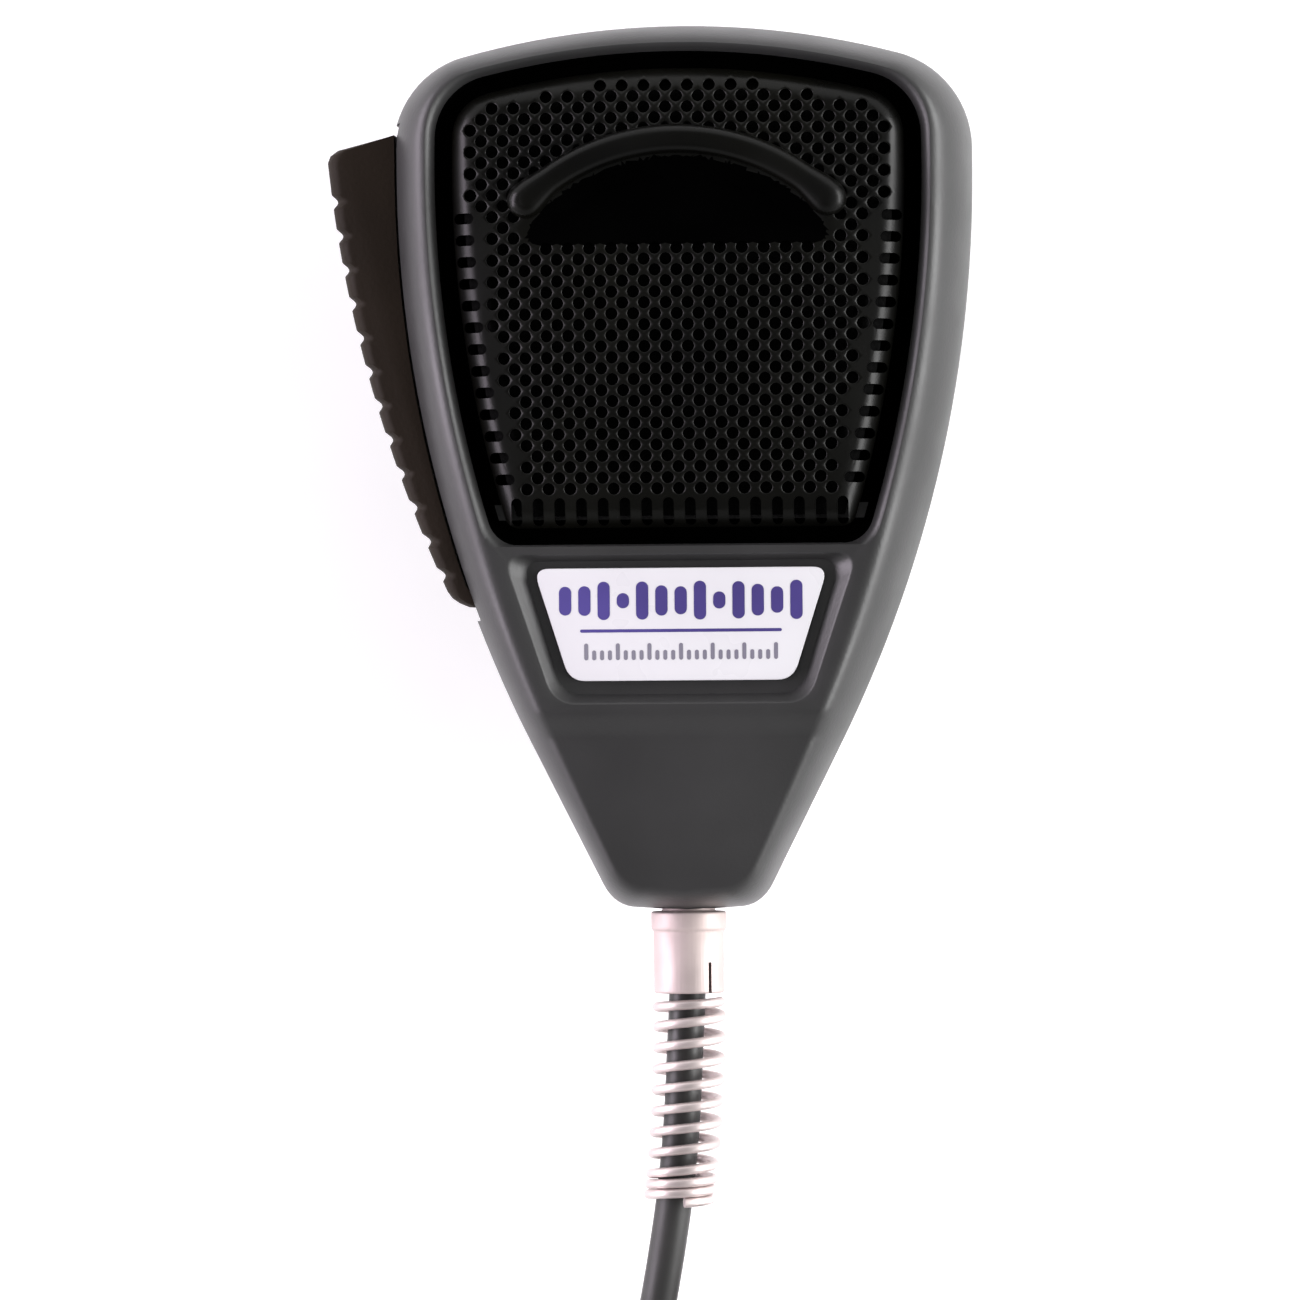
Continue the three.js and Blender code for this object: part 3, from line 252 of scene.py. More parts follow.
def mesh_object(name, points, faces, material):
    """An object from housing points in millimetres."""
    mesh = bpy.data.meshes.new(name)
    mesh.from_pydata([place(*p) for p in points], [], faces)
    mesh.validate()
    mesh.materials.append(MATERIAL[material])
    return link_object(name, mesh)


def tidy_normals(obj, angle=32):
    """Merges doubles, turns faces outwards and shades smooth across gentle angles."""
    made = bmesh.new()
    made.from_mesh(obj.data)
    bmesh.ops.remove_doubles(made, verts=made.verts, dist=1e-7)
    bmesh.ops.dissolve_degenerate(made, edges=made.edges, dist=1e-8)
    bmesh.ops.recalc_face_normals(made, faces=made.faces)
    for face in made.faces:
        face.smooth = True
    made.to_mesh(obj.data)
    made.free()
    obj.data.set_sharp_from_angle(angle=radians(angle))
    return obj


def solid(name, points, faces, material, angle=32):
    return tidy_normals(mesh_object(name, points, faces, material), angle)


def triangulate(obj):
    """Splits every face into triangles, so that a boolean has no twisted faces to cut."""
    made = bmesh.new()
    made.from_mesh(obj.data)
    bmesh.ops.triangulate(made, faces=made.faces, quad_method="SHORT_EDGE")
    made.to_mesh(obj.data)
    made.free()


def combine(target, tool, operation):
    """A boolean of two closed meshes; the tool is used up."""
    modifier = target.modifiers.new("cut", "BOOLEAN")
    modifier.object = tool
    modifier.operation = operation
    modifier.solver = "MANIFOLD"
    graph = bpy.context.evaluated_depsgraph_get()
    made = bpy.data.meshes.new_from_object(target.evaluated_get(graph))
    target.modifiers.clear()
    spent = [target.data, tool.data]
    target.data = made
    bpy.data.objects.remove(tool)
    for mesh in spent:
        bpy.data.meshes.remove(mesh)
    return target


def cut(target, *tools):
    for tool in tools:
        combine(target, tool, "DIFFERENCE")
    return target


def join(target, tool):
    return combine(target, tool, "UNION")


def common(target, tool):
    return combine(target, tool, "INTERSECT")


def ring(half, z):
    """A whole ring from its right half, top to bottom; z is its height, or gives it at a point."""
    left = [(-x, y) for x, y in half[-2:0:-1]]
    return [(x, y, z(x, y) if callable(z) else z) for x, y in [*half, *left]]


def ladder(start, n):
    """Faces across a ring, between its mirrored points."""
    faces = []
    for i in range(n // 2):
        corners = [start + i, start + i + 1, start + (n - i - 1) % n, start + (n - i) % n]
        faces.append(list(dict.fromkeys(corners)))
    return [face for face in faces if len(face) > 2]


def skin(name, rings, material, angle=32, cap=None):
    """A closed solid through rings of equal length; cap gives the faces that close an end."""
    n, last = len(rings[0]), len(rings) - 1
    faces = []
    for k in range(last):
        for i in range(n):
            j = (i + 1) % n
            faces.append([k * n + i, k * n + j, (k + 1) * n + j, (k + 1) * n + i])
    for start in (0, last * n):
        faces += cap(start, n) if cap else [list(range(start, start + n))]
    return solid(name, [p for row in rings for p in row], faces, material, angle)


def loft(name, rings, material="housing"):
    """A closed solid through rings made by ring()."""
    return skin(name, rings, material, cap=ladder)


def prism(name, half, z0, z1):
    return loft(name, [ring(half, z0), ring(half, z1)])


def box(name, low, high, material="housing"):
    points = [(x, y, z) for x in (low[0], high[0]) for y in (low[1], high[1]) for z in (low[2], high[2])]
    faces = [[0, 1, 3, 2], [4, 6, 7, 5], [0, 4, 5, 1], [2, 3, 7, 6], [0, 2, 6, 4], [1, 5, 7, 3]]
    return solid(name, points, faces, material)


def revolve(name, profile, centre, axis="z", segments=48, material="housing", closed=False, wobble=None):
    """A solid of revolution about centre, from (radius, height) pairs along its axis."""
    points, faces, rows = [], [], []
    for radius, height in profile:
        count = 1 if radius == 0 else segments
        rows.append((len(points), count))
        for i in range(count):
            a = 2 * pi * i / segments
            r = radius if wobble is None else wobble(radius, height, i)
            u, v = r * cos(a), r * sin(a)
            offset = (u, v, height) if axis == "z" else (u, height, v)
            points.append(tuple(c + o for c, o in zip(centre, offset)))
    pairs = list(zip(rows, rows[1:])) + ([(rows[-1], rows[0])] if closed else [])
    for (a, na), (b, nb) in pairs:
        for i in range(segments):
            j = (i + 1) % segments
            corners = [a + i % na, a + j % na, b + j % nb, b + i % nb]
            corners = list(dict.fromkeys(corners))
            if len(corners) > 2:
                faces.append(corners)
    return solid(name, points, faces, material)


def rod(name, x, y, radius, z0, z1):
    return revolve(name, [(0, z0), (radius, z0), (radius, z1), (0, z1)], (x, y, 0), "z", 40)


def extrude(name, outline, z0, z1, material):
    """An upright solid on a closed outline of (x, y) points."""
    n = len(outline)
    points = [(x, y, z) for z in (z0, z1) for x, y in outline]
    sides = [[i, (i + 1) % n, n + (i + 1) % n, n + i] for i in range(n)]
    faces = sides + [list(range(n - 1, -1, -1)), list(range(n, 2 * n))]
    return solid(name, points, faces, material)


def pill(name, x0, x1, y0, y1, z0, z1, material):
    """An upright solid on an outline with round ends."""
    r = min(x1 - x0, y1 - y0) / 2 * 0.98
    left, right, low, high = x0 + r, x1 - r, y0 + r, y1 - r
    outline = []
    for k, (cx, cy) in enumerate(((right, high), (left, high), (left, low), (right, low))):
        outline += arc(cx, cy, r, radians(90 * k), radians(90 * k + 90), 6)
    return extrude(name, outline, z0, z1, material)


def merged(name, parts):
    """Several meshes as one object."""
    made = bmesh.new()
    for part in parts:
        made.from_mesh(part.data)
    mesh = bpy.data.meshes.new(name)
    made.to_mesh(mesh)
    made.free()
    mesh.materials.append(parts[0].data.materials[0])
    for part in parts:
        bpy.data.objects.remove(part)
    mesh.set_sharp_from_angle(angle=radians(32))
    return link_object(name, mesh)


def round_edges(obj, width_mm, segments=3):
    modifier = obj.modifiers.new("rounding", "BEVEL")
    modifier.width = width_mm * MM
    modifier.segments = segments
    modifier.limit_method = "ANGLE"
    modifier.angle_limit = radians(40)
    modifier.harden_normals = True


def tube_curve(name, points, radius_mm, material, sides=6):
    """A round section along a line of housing points, as one open spline."""
    data = bpy.data.curves.new(name, "CURVE")
    data.dimensions = "3D"
    data.bevel_depth = radius_mm * MM
    data.bevel_resolution = sides
    data.use_fill_caps = True
    data.twist_mode = "MINIMUM"
    spline = data.splines.new("POLY")
    spline.points.add(len(points) - 1)
    for target, point in zip(spline.points, points):
        target.co = (*place(*point), 1)
    spline.use_smooth = True
    data.materials.append(MATERIAL[material])
    return link_object(name, data)


def smooth(t):
    k = min(1, max(0, t))
    return k * k * (3 - 2 * k)


def arc(x, y, r, start, end, steps):
    angles = [start + (end - start) * i / steps for i in range(steps + 1)]
    return [(x + r * cos(a), y + r * sin(a)) for a in angles]


def bend(a, corner, b, steps):
    """A rounded corner from a to b."""
    made = []
    for i in range(steps + 1):
        t = i / steps
        weights = (1 - t) ** 2, 2 * t * (1 - t), t * t
        made.append(tuple(sum(w * v for w, v in zip(weights, at)) for at in zip(a, corner, b)))
    return made


def lifted(profile, base):
    """An (r, h) profile with its heights measured from base."""
    return [(r, base + h) for r, h in profile]


def catmull(points, per_span):
    """A centripetal Catmull-Rom line through points."""
    def mix(a, b, start, end):
        return a * ((end - t) / (end - start)) + b * ((t - start) / (end - start))

    ends = [2 * points[0] - points[1], *points, 2 * points[-1] - points[-2]]
    made = []
    for p0, p1, p2, p3 in zip(ends, ends[1:], ends[2:], ends[3:]):
        t1 = (p1 - p0).length ** 0.5
        t2 = t1 + (p2 - p1).length ** 0.5
        t3 = t2 + (p3 - p2).length ** 0.5
        for i in range(per_span):
            t = t1 + (t2 - t1) * i / per_span
            a, b, c = mix(p0, p1, 0, t1), mix(p1, p2, t1, t2), mix(p2, p3, t2, t3)
            made.append(mix(mix(a, b, 0, t2), mix(b, c, t1, t3), t1, t2))
    return [*made, points[-1]]


# ---- Cord ----

CORD_TAIL = (
    (0, 13, 19), (0, 4, 19), (-0.2, -9, 19), (-0.5, -14.8, 18.9), (-0.76, -19.9, 18.63),
    (-1.18, -25.05, 18.16), (-1.8, -30.2, 17.5), (-2.65, -35.5, 16.4), (-3.9, -42, 14.4),
    (-5.7, -50, 10.8), (-7.7, -58, 7), (-9.5, -66, 4.1), (-10.7, -74, 2.6), (-11.3, -82, 2.15),
    (-11.3, -90, 2.1), (-11.1, -98, 2.1), (-10.9, -105.6, 2.2),
)
CORD_END = (
    (4.8, -105.5, 2.2), (5.2, -100.5, 2.5), (6.6, -96, 4), (8.4, -92, 6.8), (9.7, -88.6, 8.9),
    (10, -85.5, 9.3), (10, -81, 9.3), (10, -74, 9.3),
)
HANK_SPREAD = ((0, 0), (0, 16), (2, 32), (6, 46))  # further apart and further from the near end
LINE_STEP = 0.1
BOW_WINDOW = 25  # steps each way that the loop's bend is averaged over
LEAST_PITCH = 2.15  # of the curl's turns, in cord radii, at its inner side
RAMP = 20  # length over which the curl starts and stops
PER_TURN, FAR_STEP = 22, 1.5  # a point at least this often round a turn, and along the line


def hank_middle():
    """Middle line of the curled stretch: two runs side by side that open into a loop."""
    def side(s):
        runs = [(HANK_X + s * (HANK_MOUTH + out), HANK_NEAR - along) for out, along in HANK_SPREAD]
        return [*runs, (HANK_X + s * HANK_LOOP, HANK_LOOP_Y)]

    turn = [
        (HANK_X + HANK_LOOP * cos(a), HANK_LOOP_Y - HANK_LOOP * sin(a))
        for a in map(radians, (150, 120, 90, 60, 30))
    ]
    flat = [*side(-1), *turn, *reversed(side(1))]
    return catmull([Vector((x, y, CURL_Z)) for x, y in flat], 40)


def curl():
    """The helix along the hank: full pitch on the runs, opened out round the loop."""
    line = hank_middle()
    lengths = [0.0]
    for a, b in zip(line, line[1:]):
        lengths.append(lengths[-1] + (b - a).length)
    total = lengths[-1]
    ahead, behind = [*line[1:], line[-1]], [line[0], *line[:-1]]
    tangents = [(b - a).normalized() for a, b in zip(behind, ahead)]

    def at(s):
        i = next((k for k in range(1, len(lengths)) if lengths[k] >= s), len(lengths) - 1)
        t = (s - lengths[i - 1]) / (lengths[i] - lengths[i - 1])
        bow = tangents[i].angle(tangents[i - 1], 0) / (lengths[i] - lengths[i - 1])
        return line[i - 1].lerp(line[i], t), tangents[i - 1].lerp(tangents[i], t).normalized(), bow

    count = round(total / LINE_STEP)
    rates = []
    bows = [at(total * i / count)[2] for i in range(count + 1)]
    for i in range(count + 1):
        near = bows[max(0, i - BOW_WINDOW):i + BOW_WINDOW + 1]
        bow = sum(near) / len(near)
        pitch = max(CURL_PITCH, LEAST_PITCH * CORD_R / (1 - (CURL_R + 0.2) * bow))
        s = total * i / count
        rates.append(smooth(s / RAMP + 0.02) * smooth((total - s) / RAMP + 0.02) / pitch)
    turns = [0.0]
    for a, b in zip(rates, rates[1:]):
        turns.append(turns[-1] + (a + b) / 2 * total / count)
    scale = round(turns[-1]) / turns[-1]
    made = []
    last = (-1.0, -1.0)
    for i in range(count + 1):
        turn, s = turns[i] * scale, total * i / count
        if turn - last[0] < 1 / PER_TURN and s - last[1] < FAR_STEP and i < count:
            continue
        last = (turn, s)
        middle, tangent, _ = at(s)
        across = tangent.cross(Vector((0, 0, 1)))
        angle = 2 * pi * turn - pi / 2
        made.append(middle + across * CURL_R * cos(angle) + Vector((0, 0, CURL_R * sin(angle))))
    return made


def make_cord():
    tail = catmull([Vector(p) for p in CORD_TAIL], 6)
    end = catmull([Vector(p) for p in CORD_END], 6)
    route = [*tail[:-1], *curl(), *end[1:]]
    cord = tube_curve("curly_cord", route, CORD_R, "jacket", 5)
    finish_piece(cord, "cord_jacket", "cord_tail", "cord_curl", "cord_end")
    return cord, sum((b - a).length for a, b in zip(route, route[1:])) * MM


cord, cord_length = make_cord()

# ---- Housing ----

EDGE_STEPS = 14  # rows round each rounded edge
SEAM_RELIEF = 0.25
LEVER_SLOT = (((-40, 34.4), (-19.2, 80.1)), ((-40, 29.4), (-14.8, 37.4)))
SLOT_Z0, SLOT_Z1 = 12.2, 25.8
COVER_SCREWS = ((-16, 79.3), (16, 79.3), (0, 22))
POST_R, PILOT_R, PILOT_TOP, BOSS_R, BOSS_RISE = 2.8, 1.35, 25.5, 4, 4
NECK_POST_TOP = 29.6
SCREW_SEAT = ((0, -3), (3.2, -3), (3.2, 0), (2.95, 0.15), (2.75, 0.45), (2.75, 2.2), (1.4, 2.2))
SHELF_REACH, SHELF_T, SHELF_TOP = 4.2, 1.8, 30.6
OPENING_INSET = 1.8
PAST = -3  # cutters start this far on the other side of the parting plane
SKIN_INSET = 0.4  # what joins a cover stays this far inside its outer face
SHADE_BELOW = 29.75  # the groove's painted shade stops at this height


def half_width(y):
    """Half width of the housing's outline at height y."""
    x, middle, r = SIDE
    if y >= middle:
        return x + r
    if y >= TAPER_Y:
        return x + sqrt(r ** 2 - (middle - y) ** 2)
    lean = (middle - TAPER_Y) / sqrt(r ** 2 - (middle - TAPER_Y) ** 2)
    return half_width(TAPER_Y) - lean * (TAPER_Y - y)


def side_rows():
    """Heights of the outline's side points, close together through the step under the nameplate."""
    rows = [SIDE[1] - 2 * i for i in range(28)]
    rows += [STEP_TOP - (STEP_TOP - STEP_BOTTOM) * i / 16 for i in range(17)]
    return rows + [15.6, 14.2, 12.8, 11.4, 10, 8.6]


def housing_half(inset, even, weight):
    """Right half of the outline, moved in by even + inset; inset is weighted round the outline."""
    cx, cy, cr = CROWN
    sx, sy, sr = SHOULDER
    corner = atan2(sy - cy, sx)
    points = arc(cx, cy, cr - even - inset * weight["top"], pi / 2, corner, 12)
    for i in range(1, 15):
        share = i / 14
        angle = corner * (1 - share)
        r = sr - even - inset * (weight["top"] + (weight["side"] - weight["top"]) * smooth(share))
        points.append((sx + r * cos(angle), sy + r * sin(angle)))

    def width(y):
        sine = min(1, max(0, (SIDE[1] - max(y, TAPER_Y)) / SIDE[2]))
        share = weight["base"] + (weight["side"] - weight["base"]) * smooth(y / 45)
        return half_width(y) - (even + inset * share) / sqrt(1 - sine ** 2)

    points += [(width(y), y) for y in side_rows()]
    end = even + inset * weight["base"]
    turn = end + CORD_END_CORNER
    points += bend((width(turn), turn), (width(end), end), (width(end) - CORD_END_CORNER, end), 8)
    return [*points, (0, end - 0.35)]


def front_z(y):
    step = STEP_DEPTH * smooth((STEP_TOP - y) / (STEP_TOP - STEP_BOTTOM))
    return FRONT_Z - step - NECK_SLOPE * max(0, STEP_BOTTOM - y)


def back_z(y):
    return BACK_Z + BACK_RISE * max(0, (BACK_RISE_FROM - y) / BACK_RISE_FROM) ** BACK_RISE_POWER


def half_housing(name, front, even, start):
    """The housing in front of the parting plane, or behind it, as one solid moved in by even."""
    weight = FRONT_WEIGHT if front else BACK_WEIGHT
    width = FRONT_ROUND if front else BACK_ROUND
    toward = 1 if front else -1
    face = front_z if front else back_z
    relief = SEAM_RELIEF if start > 0 else 0
    rings = [ring(housing_half(0, even + relief, weight), PARTING_Z + toward * start)]
    for i in range(EDGE_STEPS + 1):
        t = radians(3 + 87 * i / EDGE_STEPS)
        half = housing_half(width * (1 - cos(t)), even, weight)
        rings.append(ring(half, lambda x, y: PARTING_Z + sin(t) * (face(y) - toward * even - PARTING_Z)))
    return loft(name, rings)


def grille_corner():
    """Centre of the arc that joins the grille's crown to its side."""
    dx, dy = CROWN[0] - SIDE[0], CROWN[1] - SIDE[1]
    d = hypot(dx, dy)
    ra, rb = GRILLE_SIDE - GRILLE_CORNER, GRILLE_CROWN - GRILLE_CORNER
    along = (d * d + ra * ra - rb * rb) / (2 * d)
    off = sqrt(ra * ra - along * along)
    return SIDE[0] + (dx * along - dy * off) / d, SIDE[1] + (dy * along + dx * off) / d


GRILLE_CX, GRILLE_CY = grille_corner()
CORNER_UP = atan2(GRILLE_CY - CROWN[1], GRILLE_CX - CROWN[0])
CORNER_DOWN = atan2(GRILLE_CY - SIDE[1], GRILLE_CX - SIDE[0])


def grille_half(offset):
    """Right half of the grille's outline, moved out by offset."""
    low_y = GRILLE_BOTTOM + GRILLE_BOTTOM_CORNER
    reach = GRILLE_SIDE - GRILLE_BOTTOM_CORNER
    low_x = SIDE[0] + sqrt(reach ** 2 - (SIDE[1] - low_y) ** 2)
    low = atan2(low_y - SIDE[1], low_x - SIDE[0])
    points = arc(CROWN[0], CROWN[1], GRILLE_CROWN + offset, pi / 2, CORNER_UP, 10)
    points += arc(GRILLE_CX, GRILLE_CY, GRILLE_CORNER + offset, CORNER_UP, CORNER_DOWN, 12)[1:]
    points += arc(SIDE[0], SIDE[1], GRILLE_SIDE + offset, CORNER_DOWN, low, 24)[1:]
    points += arc(low_x, low_y, GRILLE_BOTTOM_CORNER + offset, low, -pi / 2, 8)[1:]
    return [*points, (0, GRILLE_BOTTOM - offset)]


def edge_distances(x, y):
    """How far inside the grille's crown, its sides and its bottom a point is."""
    crown = GRILLE_CROWN - hypot(x - CROWN[0], y - CROWN[1])
    right = GRILLE_SIDE - hypot(x - SIDE[0], y - SIDE[1])
    left = GRILLE_SIDE - hypot(-x - SIDE[0], y - SIDE[1])
    return crown, right, left, y - GRILLE_BOTTOM


def edge_distance(x, y):
    """How far inside the grille's rounded outline a point is."""
    dx, dy = abs(x) - GRILLE_CX, y - GRILLE_CY
    if dx > 0 and CORNER_DOWN < atan2(dy, dx) < CORNER_UP:
        return GRILLE_CORNER - hypot(dx, dy)
    return min(edge_distances(x, y))


def trapezoid_half(top_half, top_y, bottom_half, bottom_y, corner, out=0.0):
    """Right half of a trapezoid with rounded corners, moved out by out."""
    slope = (top_half - bottom_half) / (top_y - bottom_y)
    top_half, bottom_half = top_half + out, bottom_half + out
    top_y, bottom_y = top_y + out, bottom_y - out

    def edge(y):
        return bottom_half + slope * (y - bottom_y)

    upper = bend((top_half - corner, top_y), (top_half, top_y), (edge(top_y - corner), top_y - corner), 8)
    lower = bend(
        (edge(bottom_y + corner), bottom_y + corner),
        (bottom_half, bottom_y),
        (bottom_half - corner, bottom_y),
        8,
    )
    return [(0, top_y), *upper, *lower, (0, bottom_y)]


# The groove round the grille: how far out from the grille's edge, and at what height.
GROOVE = (
    (0.5, 27.8), (0.8, 27.85), (1.0, 28.1), (1.3, 29.5), (1.45, 29.9),
    (1.75, 30.4), (2.1, 30.82), (2.5, 31.0), (2.5, 33),
)
CROSSBAR_Y = 37.3  # the groove keeps above this, less a little for its chamfer
RECESS_FLOOR = (16.0, 35.3, 12.0, 21.9, 2.0)
RECESS_RIM = (18.0, 36.0, 12.9, 20.9, 2.2)
# Share of the way from the recess's floor to its rim, and the height.
RECESS_WALL = (
    (0, 29.7), (0.05, 29.72), (0.13, 29.86), (0.86, 30.8), (0.95, 30.93), (1.06, 31.0), (1.06, 33),
)


def groove_cutter():
    rings = []
    for offset, z in GROOVE:
        lowest = CROSSBAR_Y - 0.2 * offset
        half = [(x, max(y, lowest)) for x, y in grille_half(offset)]
        rings.append(ring(half, z))
    return loft("groove", rings)


def recess_cutter():
    rings = []
    for share, z in RECESS_WALL:
        shape = [a + (b - a) * share for a, b in zip(RECESS_FLOOR, RECESS_RIM)]
        rings.append(ring(trapezoid_half(*shape), z))
    return loft("recess", rings)


def slot_and_hole():
    """Cutters for the lever's slot and the cord's hole."""
    tools = [box("slot", (*low, SLOT_Z0), (*high, SLOT_Z1)) for low, high in LEVER_SLOT]
    hole = [(0, -4), (3, -4), (3, 8), (0, 8)]
    return [*tools, revolve("hole", hole, (0, 0, PARTING_Z), "y")]


def paint_shade(piece, inside):
    """Paints shade: gives the near-black material of painted shade to the faces whose middles are inside.
    """
    piece.data.materials.append(MATERIAL["groove"])
    for face in piece.data.polygons:
        x, y, z = face.center / MM
        if inside(x, y + BUTTON_Y, z):
            face.material_index = len(piece.data.materials) - 1


def groove_shade_mask(x, y, z):
    """The groove's walls and floor, up to the slope of its outer edge, where shade is painted."""
    return SHELF_Z - 2.8 < z < SHADE_BELOW and -2.2 < edge_distance(x, y) < 2


def front_cover():
    cover = half_housing("front_cover_shell", True, 0, PARTING_GAP)
    cut(cover, half_housing("hollow", True, WALL, PAST))
    shelf = prism("shelf", grille_half(SHELF_REACH), SHELF_Z - SHELF_T, SHELF_TOP)
    join(cover, common(shelf, half_housing("within", True, SKIN_INSET, PAST)))
    cut(cover, prism("opening", grille_half(-OPENING_INSET), 20, SHELF_Z + 4))
    for x, y in COVER_SCREWS:
        top = SHELF_Z if y > GRILLE_BOTTOM else NECK_POST_TOP
        join(cover, rod("post", x, y, POST_R, PARTING_Z + PARTING_GAP, top))
        cut(cover, rod("pilot", x, y, PILOT_R, PARTING_Z - 1, PILOT_TOP))
    cut(cover, groove_cutter(), recess_cutter(), *slot_and_hole())
    tidy_normals(cover, 28)
    # painted shade on the deep part of the groove
    paint_shade(cover, groove_shade_mask)
    finish_piece(cover, "housing_plastic", "front_cover")


def rear_cover():
    cover = half_housing("rear_cover_shell", False, 0, PARTING_GAP)
    cut(cover, half_housing("hollow", False, WALL, PAST))
    for x, y in COVER_SCREWS:
        post = rod("post", x, y, POST_R, BACK_Z, PARTING_Z - PARTING_GAP)
        join(post, rod("boss", x, y, BOSS_R, BACK_Z, back_z(y) + BOSS_RISE))
        join(cover, common(post, half_housing("within", False, SKIN_INSET, PAST)))
    for x, y in COVER_SCREWS:
        cut(cover, revolve("seat", [*lifted(SCREW_SEAT, back_z(y)), (1.4, 25), (0, 25)], (x, y, 0)))
    cut(cover, rod("button_hole", 0, BUTTON_Y, 2.3, 0, 12), *slot_and_hole())
    tidy_normals(cover, 28)
    finish_piece(cover, "housing_plastic", "rear_cover")


front_cover()
rear_cover()

# ---- Grille ----

GRILLE_BASE_Z = 28.45
BORDER_RISE, BORDER_WIDTH = 2.9, 2.5
DOME_RISE, DOME_REACH = 4.1, 9
MOUTH_DEPTH, MOUTH_Y, MOUTH_HALF, MOUTH_FADE = 1.2, 66.2, 17.5, 4.5
MOUTH_GAP, MOUTH_RISE = 1.2, 2.4  # between the hollow and the lip guard's middle line
MOUTH_SHADE = 0.12  # the hollow gets painted shade where its weight is above this
SLOT_PITCH, SLOT_HALF = 2.2, 0.55
SIDE_SLOT, FOOT_SLOT = 2.5, 3.3  # how far in from the edge the border's slots reach
SLOT_EDGE, FOOT_EDGE = 0.45, 0.5  # what is left outside a slot
FIRST_SLOT, CORNER_KEEP = 1.9, 1.2  # from the foot's slots to the side's first, and to the corner
SLOT_TOP_Y = 71.5  # the border is plain above this
BORDER_LAND = 1.7  # there, the first holes are this far in
SIDE_LAND, FOOT_LAND = 0.8, 0.6  # between the slots and the first holes
HOLLOW_HALF, HOLLOW_Y = 15.5, 67.6  # the lattice is plain from here up to the lip guard
HOLE_CORNERS, HOLE_ROUND, HOLE_DROP = 12, 0.09, 0.08
LATTICE_Y = 40.4
LAND_CROWN = 0.14
BELOW, ABOVE = 20, 40  # heights that clear the sheet on both sides
SPARE, TRIM = 1.3, 0.3  # cells laid past the outline, and the sheet's play in its opening


def mouth(x, y):
    """Weight of the shallow hollow under the lip guard, from 0 to 1."""
    above = (LIP_R - MOUTH_GAP - hypot(x, y - LIP_Y)) / MOUTH_RISE
    below = (y - MOUTH_Y) / MOUTH_FADE
    beside = (MOUTH_HALF - abs(x)) / MOUTH_FADE
    return smooth(above) * smooth(below) * smooth(beside)


def grille_z(x, y):
    """Height of the grille's outer surface: a steep border, a pillow dome and the hollow."""
    border = 1 - min(1, max(0, edge_distance(x, y)) / BORDER_WIDTH)
    dome = 1.0
    for distance in edge_distances(x, y):
        dome *= 1 - exp(-max(0, distance) / DOME_REACH)
    rise = BORDER_RISE * sqrt(1 - border ** 2) + DOME_RISE * dome
    return GRILLE_BASE_Z + rise - MOUTH_DEPTH * mouth(x, y)


def has_hole(x, y):
    """Whether a lattice cell is pierced: not under the lip guard, in the hollow or in the border."""
    if abs(x) < HOLLOW_HALF and y > HOLLOW_Y and hypot(x, y - LIP_Y) < LIP_R + 0.4:
        return False
    if y > SLOT_TOP_Y - 1:
        return edge_distance(x, y) > BORDER_LAND
    _, right, left, bottom = edge_distances(x, y)
    return min(right, left) > SIDE_SLOT + SIDE_LAND and bottom > FOOT_SLOT + FOOT_LAND


def cell_corners():
    """A lattice cell's outline in sixths of a cell, once round."""
    quarter = [(3, 3), (1, 3), (-1, 3)]
    corners = []
    for _ in range(4):
        corners += quarter
        quarter = [(-b, a) for a, b in quarter]
    return corners


def side_edge(y):
    return SIDE[0] + sqrt(GRILLE_SIDE ** 2 - (SIDE[1] - y) ** 2)


def border_slots():
    """Cutters for the slots across the sheet's drawn border, up both sides and along the foot."""
    top = GRILLE_BOTTOM + FOOT_SLOT
    outlines = []
    y = top + FIRST_SLOT
    while y < SLOT_TOP_Y:
        for low in (-side_edge(y) + SLOT_EDGE, side_edge(y) - SIDE_SLOT):
            outlines.append((low, low + SIDE_SLOT - SLOT_EDGE, y - SLOT_HALF, y + SLOT_HALF))
        y += SLOT_PITCH
    x = SLOT_PITCH / 2
    while x < side_edge(top) - CORNER_KEEP:
        outlines += [(at - SLOT_HALF, at + SLOT_HALF, GRILLE_BOTTOM + FOOT_EDGE, top) for at in (-x, x)]
        x += SLOT_PITCH
    return merged("slots", [pill("slot", *outline, BELOW, ABOVE, "grille") for outline in outlines])


